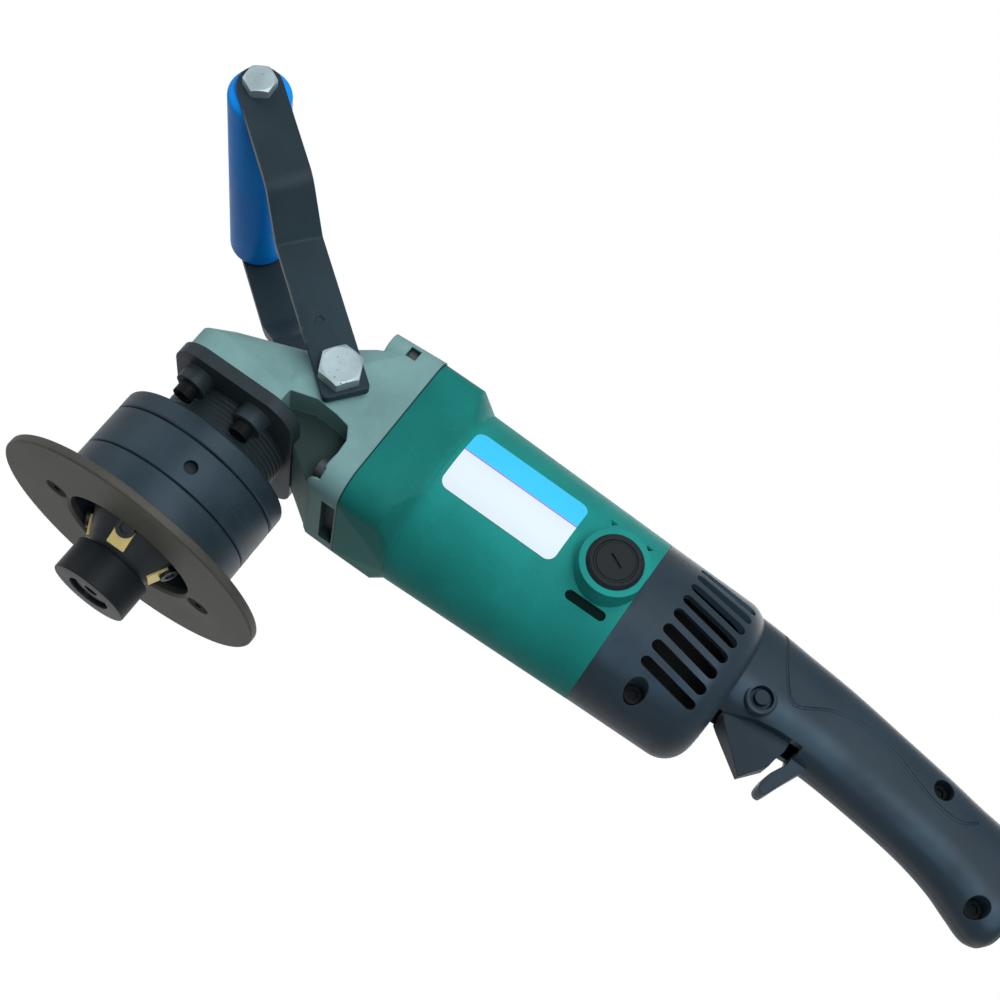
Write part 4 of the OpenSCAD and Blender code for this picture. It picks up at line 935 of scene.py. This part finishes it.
def arm_half_width(along):
    """Half width of an arm at a distance along it, with a round end and small corners at the pivot."""
    half = ARM_W / 2
    corner_end = ARM_START + ARM_CORNER
    if along > BAIL_LEN:
        return sqrt(max(0.0, half ** 2 - (along - BAIL_LEN) ** 2))
    if along < corner_end:
        return half - ARM_CORNER + sqrt(max(0.0, ARM_CORNER ** 2 - (corner_end - along) ** 2))
    return half


def arm_rings(inner_y, outer_y, radius):
    """Cross-sections of a joggled arm in its own frame, in millimetres."""
    end = BAIL_LEN + ARM_W / 2
    corners = [(ARM_START, inner_y), (BEND_START, inner_y), (BEND_START + BEND_LEN, outer_y), (end, outer_y)]
    bends = rounded_path(corners, radius)
    path = [(ARM_START + ARM_CORNER * (1 - cos(radians(a))), inner_y) for a in range(0, 90, 15)]
    path += [tuple(point) for point in bends[1:-1]]
    path += [(BAIL_LEN + ARM_W / 2 * sin(radians(a)), outer_y) for a in range(0, 90, 5)]
    path += [(end, outer_y)]
    rings = []
    for i, (s, y) in enumerate(path):
        ahead = (Vector(path[min(i + 1, len(path) - 1)]) - Vector(path[max(i - 1, 0)])).normalized()
        out = Vector((-ahead.y, ahead.x)) * ARM_T
        half = max(arm_half_width(s), ARM_TIP)
        outer = s + out.x, y + out.y
        rings.append([(s, y, half), (s, y, -half), (*outer, -half), (*outer, half)])
    return rings


def hex_head(flats, height, lean, place):
    """A bolt head: six flats under a turned chamfer, with a shallow dish in its top."""
    disc = flats * HEAD_DISC
    lower, upper, top, dish = [], [], [], []
    for angle in round_angles(HEAD_POINTS):
        away = (angle + lean) % (pi / 3) - pi / 6
        radius = flats / 2 / cos(away)
        drop = max(0.0, (radius - disc) * tan(radians(HEAD_CHAMFER)))
        spoke = Vector((cos(angle), sin(angle), 0))
        lower.append(place @ (spoke * radius))
        upper.append(place @ (spoke * radius + Vector((0, 0, height - drop))))
        top.append(place @ (spoke * disc * HEAD_FLAT + Vector((0, 0, height))))
        dish.append(place @ (spoke * disc * HEAD_DISH + Vector((0, 0, height - DISH_DEPTH * MM))))
    return skin([lower, upper, top, dish])


def bolt_pair(name, x, z, seat, top, flats, lean, shank_r, shank_start):
    """A bolt on each side: head, turned by a lean in degrees, and shank in one piece."""
    shank = rounded(shank_r, shank_start, seat + 0.2 * MM, 0.5 * MM, 0.05 * MM)

    def bolt(side):
        place = along_y(x, z, side)
        head = hex_head(flats, top - seat, radians(lean), place @ Matrix.Translation((0, 0, seat)))
        return head, lathe(shank, place, 48)
    bolts = pair(name, bolt)
    shade(bolts, 25)
    return bolts


class BEVELER_OT_bail(bpy.types.Operator):
    """Two joggled arms, a grip tube and the hexagon bolts that hold them"""

    bl_idname = "beveler.bail"
    bl_label = "Bail handle"

    def arm(self, name, side, rings):
        """One arm with its dimple, on the near side, -1, or the far side, 1."""
        place = (Matrix.Translation(BAIL_PIVOT) @ Matrix.Rotation(-radians(BAIL_ANGLE), 4, "Y")
                 @ Matrix.Scale(side, 4, (0, 1, 0)))
        arm = add_piece(name, *skin([[place @ (Vector(v) * MM) for v in ring] for ring in rings]))
        shade(arm)
        dimple = rounded(DIMPLE_R * MM, 0, DIMPLE_TOOL * MM, DIMPLE_ROUND * MM, 0.1 * MM)
        hole = (place @ Matrix.Translation((DIMPLE_X * MM, 0, DIMPLE_Z * MM))
                @ Matrix.Rotation(-pi / 2, 4, "X")
                @ Matrix.Translation((0, 0, ARM_INNER_Y + (ARM_T - DIMPLE_DEPTH) * MM)))
        dent = add_piece("dent", *lathe(dimple, hole, 32))
        shade(dent)
        carve(arm, dent)
        bevel(arm, ARM_ROUND * MM, 3, 50)
        settle(arm)
        shade(arm, 28)
        return arm

    def execute(self, context):
        sizes = context.scene.beveler_sizes
        tones = context.scene.beveler_colours
        paint = painted("arm powder coat", tones.arm_black)
        rings = arm_rings(ARM_INNER_Y / MM, GRIP_HIGH.y / MM, sizes.bend_radius / MM)
        for name, node, side in (("bail_strap_left", "bail_arm_left", -1),
                                 ("bail_strap_right", "bail_arm_right", 1)):
            finish_piece(self.arm(name, side, rings), paint, "bail", "arm_paint", node)
        grip_x, grip_z = ((GRIP_LOW[i] + GRIP_HIGH[i]) / 2 for i in (0, 2))
        grip_r = (GRIP_HIGH.z - GRIP_LOW.z) / 2
        tube = rounded(grip_r, GRIP_LOW.y, GRIP_HIGH.y, GRIP_ROUND * MM, GRIP_ROUND * MM, 8)
        grip = add_piece("grip_sleeve", *lathe(tube, along_y(grip_x, grip_z, 1), 96))
        shade(grip)
        blue = moulded("blue grip plastic", tones.grip_blue)
        finish_piece(grip, blue, "bail", "grip_blue", "grip_tube")
        zinc = plain_metal("zinc plate", tones.zinc)
        seat = ARM_INNER_Y + (ARM_T + WASHER) * MM
        pivots = bolt_pair("pivot_bolts", BAIL_PIVOT.x, BAIL_PIVOT.z, seat, PIVOT_BOLT_END,
                           flats=17 * MM, lean=5, shank_r=5 * MM, shank_start=31 * MM)
        finish_piece(pivots, zinc, "frame", "zinc", "bail_bolts")
        ends = bolt_pair("grip_end_bolts", grip_x, grip_z, GRIP_HIGH.y + ARM_T * MM, GRIP_BOLT_END,
                         flats=13 * MM, lean=25, shank_r=3.9 * MM, shank_start=GRIP_HIGH.y - 2 * MM)
        finish_piece(ends, zinc, "bail", "zinc", "grip_bolts")
        dress(plain_metal("drawn steel", linear("#B4B7BA")), "grip_rod")
        return {"FINISHED"}


# Motor, gear head and cutter, which keep most of their imported solids

# Painted shade on the floors of the slot and notches beside the brush caps: distance from the motor axis,
# reach before the caps
RECESS_R, RECESS_REACH = (38.3 * MM, 38.9 * MM), 8 * MM
# Painted shade on the motor housing's square front: where it ends, and how dark it is
FRONT_SHADE_ENDS, FRONT_SHADE_DEPTH = (86 * MM, 93 * MM), 0.33
# Line on the rating label: height above the motor axis, half width
LABEL_LINE_Z, LABEL_LINE_HALF = 7.45 * MM, 0.28 * MM
# Brush caps, in millimetres: steps in from the edge and down from the top
CAP_RIM = [(0, 5), (0, 1.1), (1.4, 0), (2.6, 0), (3.0, 0.55), (3.7, 0.55), (4.0, 0.15)]
# Screwdriver slot in a brush cap: length, width, depth, height of the tool, angle in degrees
SLOT_LEN, SLOT_W, SLOT_DEPTH, SLOT_TOOL, SLOT_ANGLE = 7.2 * MM, 1.4 * MM, 1.3 * MM, 4 * MM, 63
# Painted shade in the hollow in each side of the gear housing: reach along the motor, heights of its roof,
# depth, roof's darkness
HOLLOW_X, HOLLOW_Z, HOLLOW_Y, HOLLOW_ROOF_SHADE = (18 * MM, 52 * MM), (102 * MM, 113 * MM), 35 * MM, 0.4
# Painted shade in the air outlet under the gear housing: ends, half width and height of its roof
OUTLET_X, OUTLET_HALF, OUTLET_Z = (SEAM_X - 7.65 * MM, SEAM_X - 0.95 * MM), 20.1 * MM, 88.5 * MM
# Painted shade in the spanner holes of the adjusting ring: distance from its ends, depths where the shade
# starts and is full, darkness
SPANNER_Z, SPANNER_DEPTH, SPANNER_SHADE = 3 * MM, (0.5 * MM, 1.5 * MM), 0.7


class BEVELER_OT_motor(bpy.types.Operator):
    """Motor housing, brush caps, rating label and the parts inside"""

    bl_idname = "beveler.motor"
    bl_label = "Motor"

    def motor_shade(self, look):
        """Painted shade: up to 1 in the seam and on the floors of the slot and notches, less on the square
        front.
        """
        x, y, z = look.axes()
        floors = (1 - hypotenuse(y, z - MOTOR_Z).step(*RECESS_R)) * x.above(CAP_LOW.x - RECESS_REACH)
        # The square front is darkened as painted shade
        front_shade = (1 - x.step(*FRONT_SHADE_ENDS)) * FRONT_SHADE_DEPTH
        return (floors + front_shade + seam_shade(look, SEAM_X)).limited()

    def brush_caps(self):
        """A slotted cap on each side."""
        cap_x, cap_r = (CAP_LOW.x + CAP_HIGH.x) / 2, (CAP_HIGH.x - CAP_LOW.x) / 2
        top = CAP_HIGH.y
        rim = [(cap_r - inward * MM, top - down * MM) for inward, down in CAP_RIM]
        caps = pair("brush_cap_discs", lambda side: [lathe(rim, along_y(cap_x, MOTOR_Z, side), 72)])
        shade(caps)
        outline = [(x - SLOT_LEN / 2, z) for x, z in stadium(SLOT_LEN, SLOT_W)]
        for side in (-1, 1):
            place = (along_y(cap_x, MOTOR_Z, side) @ Matrix.Rotation(radians(SLOT_ANGLE), 4, "Z")
                     @ Matrix.Translation((0, 0, top - SLOT_DEPTH)) @ Matrix.Rotation(pi / 2, 4, "Z")
                     @ Matrix.Rotation(pi / 2, 4, "X"))
            tool = prism("cap slot", outline, place, SLOT_TOOL)
            shade(tool)
            carve(caps, tool)
        shade(caps, 25)
        resin = moulded("brush cap resin", linear("#171D21"))
        finish_piece(caps, resin, "frame", "black_plastic", "brush_caps")

    def execute(self, context):
        tones = context.scene.beveler_colours
        # The green gets painted shade in its seam, slot and notches and on its square front
        green = moulded("green moulded plastic", tones.motor_green, self.motor_shade)
        dress(green, "motor_housing", soft=0.9, segments=3)
        dress(printed_label("printed label", tones, MOTOR_Z + LABEL_LINE_Z, LABEL_LINE_HALF), "rating_label")
        self.brush_caps()
        for kind, name, tone, *nodes in (
                (wound, "enamelled copper", "#B4632D", "field_coils", "armature_windings"),
                (laminated, "laminated iron", "#7B7E82", "stator_core", "armature_core"),
                (plain_metal, "commutator copper", "#C47A3C", "commutator"),
                (plain_metal, "drawn brass", "#C8A24A", "brush_holders"),
                (moulded, "pressed carbon", "#2E2E30", "carbon_brushes"),
                (moulded, "fan plastic", "#CFC9B4", "cooling_fan"),
                (moulded, "switch resin", "#1A1C1E", "switch_box"),
                (plain_metal, "ground steel", "#AEB2B6", "brush_springs", "armature_shaft", "pinion",
                 "trigger_pin"),
                (plain_metal, "sealed bearing", "#26292B", "front_motor_bearing", "rear_motor_bearing")):
            dress(kind(name, linear(tone)), *nodes)
        return {"FINISHED"}


class BEVELER_OT_gear_head(bpy.types.Operator):
    """Gear housing, bearing box and their screws"""

    bl_idname = "beveler.gear_head"
    bl_label = "Gear head"

    def hollow_shade(self, look):
        """Painted shade: up to 1 in the seam, in the air outlet and on the wall and roof of each side's
        hollow.
        """
        x, y, z = look.axes()
        _, side, up = look.parts(look.normal())
        wall = side.size().above(0.85) * (1 - y.size().above(HOLLOW_Y))
        # Roofs that face down get painted shade
        roof = (1 - up.above(-0.5)) * z.above(HOLLOW_Z[0]) * HOLLOW_ROOF_SHADE
        inside = (wall + roof) * x.between(*HOLLOW_X) * (1 - z.above(HOLLOW_Z[1]))
        outlet = x.between(*OUTLET_X) * (1 - y.size().above(OUTLET_HALF)) * (1 - z.above(OUTLET_Z))
        return (inside + outlet + seam_shade(look, SEAM_X)).limited()

    def execute(self, context):
        tones = context.scene.beveler_colours
        # The casting paint gets painted shade in its seam, air outlet and side hollows
        grey = painted("casting paint", tones.casting_grey, self.hollow_shade)
        dress(grey, "gear_housing", soft=1.1, segments=3)
        dress(turned("blackened steel", tones.box_black), "bearing_box", soft=0.7)
        oxide = plain_metal("black oxide screw", linear("#111416"))
        dress(oxide, "bearing_box_screws", "handle_screws", soft=0.4)
        dress(plain_metal("plated screw", linear("#3E4446")), "gear_housing_screws", soft=0.4)
        dress(plain_metal("gear steel", linear("#9EA3A8")),
              "upper_spindle_bearing", "lower_spindle_bearing", "spindle", "crown_gear")
        return {"FINISHED"}


class BEVELER_OT_cutter(bpy.types.Operator):
    """Depth rings, guide plate, cutter, inserts and pilot roller"""

    bl_idname = "beveler.cutter"
    bl_label = "Cutter and guide"

    def spanner_hole_shade(self, look):
        """Painted shade, strongest on the bottoms of the holes in the adjusting ring."""
        x, y, z = look.axes()
        depth = RING_HIGH.x - hypotenuse(x, y)
        inside = z.between(RING_LOW.z + SPANNER_Z, RING_HIGH.z - SPANNER_Z)
        return depth.step(*SPANNER_DEPTH) * inside * SPANNER_SHADE

    def execute(self, context):
        soft = context.scene.beveler_sizes.soft_edge / MM
        tones = context.scene.beveler_colours
        # The blued steel gets painted shade in the spanner holes
        rings = turned("blued steel", tones.ring_blue_black, self.spanner_hole_shade)
        dress(rings, "lock_ring", "adjusting_ring", "guide_sleeve", soft=soft, segments=3)
        roller = turned("hardened roller steel", linear("#171C1F"))
        dress(roller, "pilot_roller", soft=soft, segments=3)
        dress(plain_metal("bearing steel", linear("#6D7175")), "pilot_bearing")
        for kind, name, tone, *nodes in (
                (turned, "turned plate steel", tones.plate_grey, "guide_plate"),
                (turned, "cutter steel", linear("#2D3134"), "cutter_head"),
                (plain_metal, "coated carbide", tones.insert_gold, "cutter_inserts"),
                (plain_metal, "dark socket screw", linear("#2A2D30"), "insert_screws", "pilot_screw"),
                (plain_metal, "plate screw", linear("#1C1D1E"), "guide_plate_screws")):
            dress(kind(name, tone), *nodes, soft=0.3)
        return {"FINISHED"}


# Stage

IMAGE_SIZE = 1000
FOCAL_PIXELS = 1676.98
SENSOR = 36.0
CAMERA_EYE = (0.192409, -0.664870, -0.140448)
CAMERA_RIGHT = (0.8171050836632965, -0.13500969511930586, 0.5604566570890107)
CAMERA_DOWN = (0.5655441120987889, 0.3762660633618872, -0.7338826246972607)
CAMERA_AHEAD = (-0.1117995506341121, 0.916622185955555, 0.38380285133395015)
FLOOR_RADIUS = 1.2
FLOOR_DROP = 0.3 * MM
FLOOR_POINTS = 96
# Shares of the radius, from the rim, at which the floor begins to show and is solid
FLOOR_FADE = (0.1, 0.7)
SKY_TINT, SKY_STRENGTH = (0.93, 0.97, 1.0, 1), 0.152
# Name, place, power in watts, size and tint
LAMPS = (
    ("key lamp", (0.3, -0.95, 0.35), 5.4, 0.7, (1, 1, 1)),
    ("window", (0.45, -1.05, -0.15), 4.4, 0.3, (0.8, 0.93, 1.0)),
    ("left lamp", (-0.7, -0.5, 0.35), 1.8, 0.5, (1, 1, 1)),
    ("back lamp", (0.5, 0.8, 0.8), 4.8, 0.9, (1, 1, 1)),
)


class BEVELER_OT_stage(bpy.types.Operator):
    """Floor, white surroundings, soft lamps and the camera"""

    bl_idname = "beveler.stage"
    bl_label = "Stage"

    def floor(self):
        """A pale disc that is open from below and fades out at its rim."""
        look = Finish("pale floor")
        x, y, _ = look.axes()
        rim = 1 - hypotenuse(x, y) / FLOOR_RADIUS
        seen = look.node("ShaderNodeLightPath", out="Is Camera Ray")
        under = look.node("ShaderNodeNewGeometry", out="Backfacing")
        solid = rim.step(*FLOOR_FADE) * (1 - under) * seen
        grain = look.noise(14, 4)
        pale = look.mix(grain, (0.84, 0.85, 0.86), (0.88, 0.88, 0.88))
        look.set(Base_Color=pale, Roughness=0.7 + grain * 0.1)
        clear = look.node("ShaderNodeBsdfTransparent")
        plain = Value(look, look.shader.outputs[0])
        shown = look.node("ShaderNodeMixShader", {}, {0: solid, 1: clear, 2: plain})
        look.feed(look.tree.nodes["Material Output"].inputs["Surface"], shown)
        level = CAD_LOW.z - FLOOR_DROP
        edge = [(FLOOR_RADIUS * cos(a), FLOOR_RADIUS * sin(a), level) for a in round_angles(FLOOR_POINTS)]
        disc = add_piece("floor", edge, [tuple(range(FLOOR_POINTS))])
        if disc.data.polygons[0].normal.z < 0:
            disc.data.flip_normals()
        disc.data.materials.append(look.material)

    def surroundings(self, scene):
        """A soft sky for light, and plain white for what is seen or mirrored."""
        scene.world = bpy.data.worlds.new("studio")
        scene.world.use_nodes = True
        scene.world.node_tree.nodes.clear()
        nodes = Nodes(scene.world.node_tree)
        rays = nodes.node("ShaderNodeLightPath",
                          out=("Is Camera Ray", "Is Glossy Ray", "Is Transmission Ray"))
        soft = nodes.node("ShaderNodeBackground", {}, {"Color": SKY_TINT, "Strength": SKY_STRENGTH})
        white = nodes.node("ShaderNodeBackground", {}, {"Color": (1, 1, 1, 1), "Strength": 1.0})
        seen = (rays[0] + rays[1] + rays[2]).limited()
        sky = nodes.node("ShaderNodeMixShader", {}, {0: seen, 1: soft, 2: white})
        nodes.node("ShaderNodeOutputWorld", {}, {"Surface": sky})

    def lamp(self, scene, name, place, power, size, tint):
        """A square soft lamp that faces the machine."""
        light = bpy.data.lights.new(name, "AREA")
        light.energy = power
        light.size = size
        light.color = tint
        lamp = bpy.data.objects.new(name, light)
        lamp.location = place
        aim = (CAD_LOW + CAD_HIGH) / 2 - Vector(place)
        lamp.rotation_mode = "QUATERNION"
        lamp.rotation_quaternion = aim.to_track_quat("-Z", "Y")
        lamp.visible_camera = False
        scene.collection.objects.link(lamp)

    def camera(self, scene):
        """The camera where the photograph was taken from."""
        data = bpy.data.cameras.new("camera")
        data.sensor_width = SENSOR
        data.lens = FOCAL_PIXELS / IMAGE_SIZE * SENSOR
        data.clip_start = 0.01
        camera = bpy.data.objects.new("camera", data)
        right, up, back = Vector(CAMERA_RIGHT), -Vector(CAMERA_DOWN), -Vector(CAMERA_AHEAD)
        turn = Matrix((right, up, back)).transposed().to_4x4()
        camera.matrix_world = Matrix.Translation(CAMERA_EYE) @ turn
        scene.collection.objects.link(camera)
        scene.camera = camera

    def execute(self, context):
        scene = context.scene
        self.floor()
        self.surroundings(scene)
        for settings in LAMPS:
            self.lamp(scene, *settings)
        self.camera(scene)
        scene.view_settings.view_transform = "Standard"
        return {"FINISHED"}


class BEVELER_PT_panel(bpy.types.Panel):
    """Buttons and settings of the beveling machine"""

    bl_idname = "BEVELER_PT_panel"
    bl_label = "Beveling machine"
    bl_space_type = "VIEW_3D"
    bl_region_type = "UI"
    bl_category = "Beveler"

    def draw(self, context):
        for operator in OPERATORS:
            self.layout.operator(operator.bl_idname)
        for group in (context.scene.beveler_colours, context.scene.beveler_sizes):
            for name in group.__annotations__:
                self.layout.prop(group, name)


GROUPS = (BevelerColours, BevelerSizes)
OPERATORS = (BEVELER_OT_stage, BEVELER_OT_gear_head, BEVELER_OT_motor, BEVELER_OT_cutter, BEVELER_OT_bail,
             BEVELER_OT_rear_handle)


def register():
    for made in (*GROUPS, *OPERATORS, BEVELER_PT_panel):
        bpy.utils.register_class(made)
    bpy.types.Scene.beveler_colours = PointerProperty(type=BevelerColours)
    bpy.types.Scene.beveler_sizes = PointerProperty(type=BevelerSizes)


def unregister():
    del bpy.types.Scene.beveler_sizes
    del bpy.types.Scene.beveler_colours
    for made in reversed((*GROUPS, *OPERATORS, BEVELER_PT_panel)):
        bpy.utils.unregister_class(made)


def main():
    register()
    for operator in OPERATORS:
        group, name = operator.bl_idname.split(".")
        getattr(getattr(bpy.ops, group), name)()


if __name__ == "__main__":
    main()
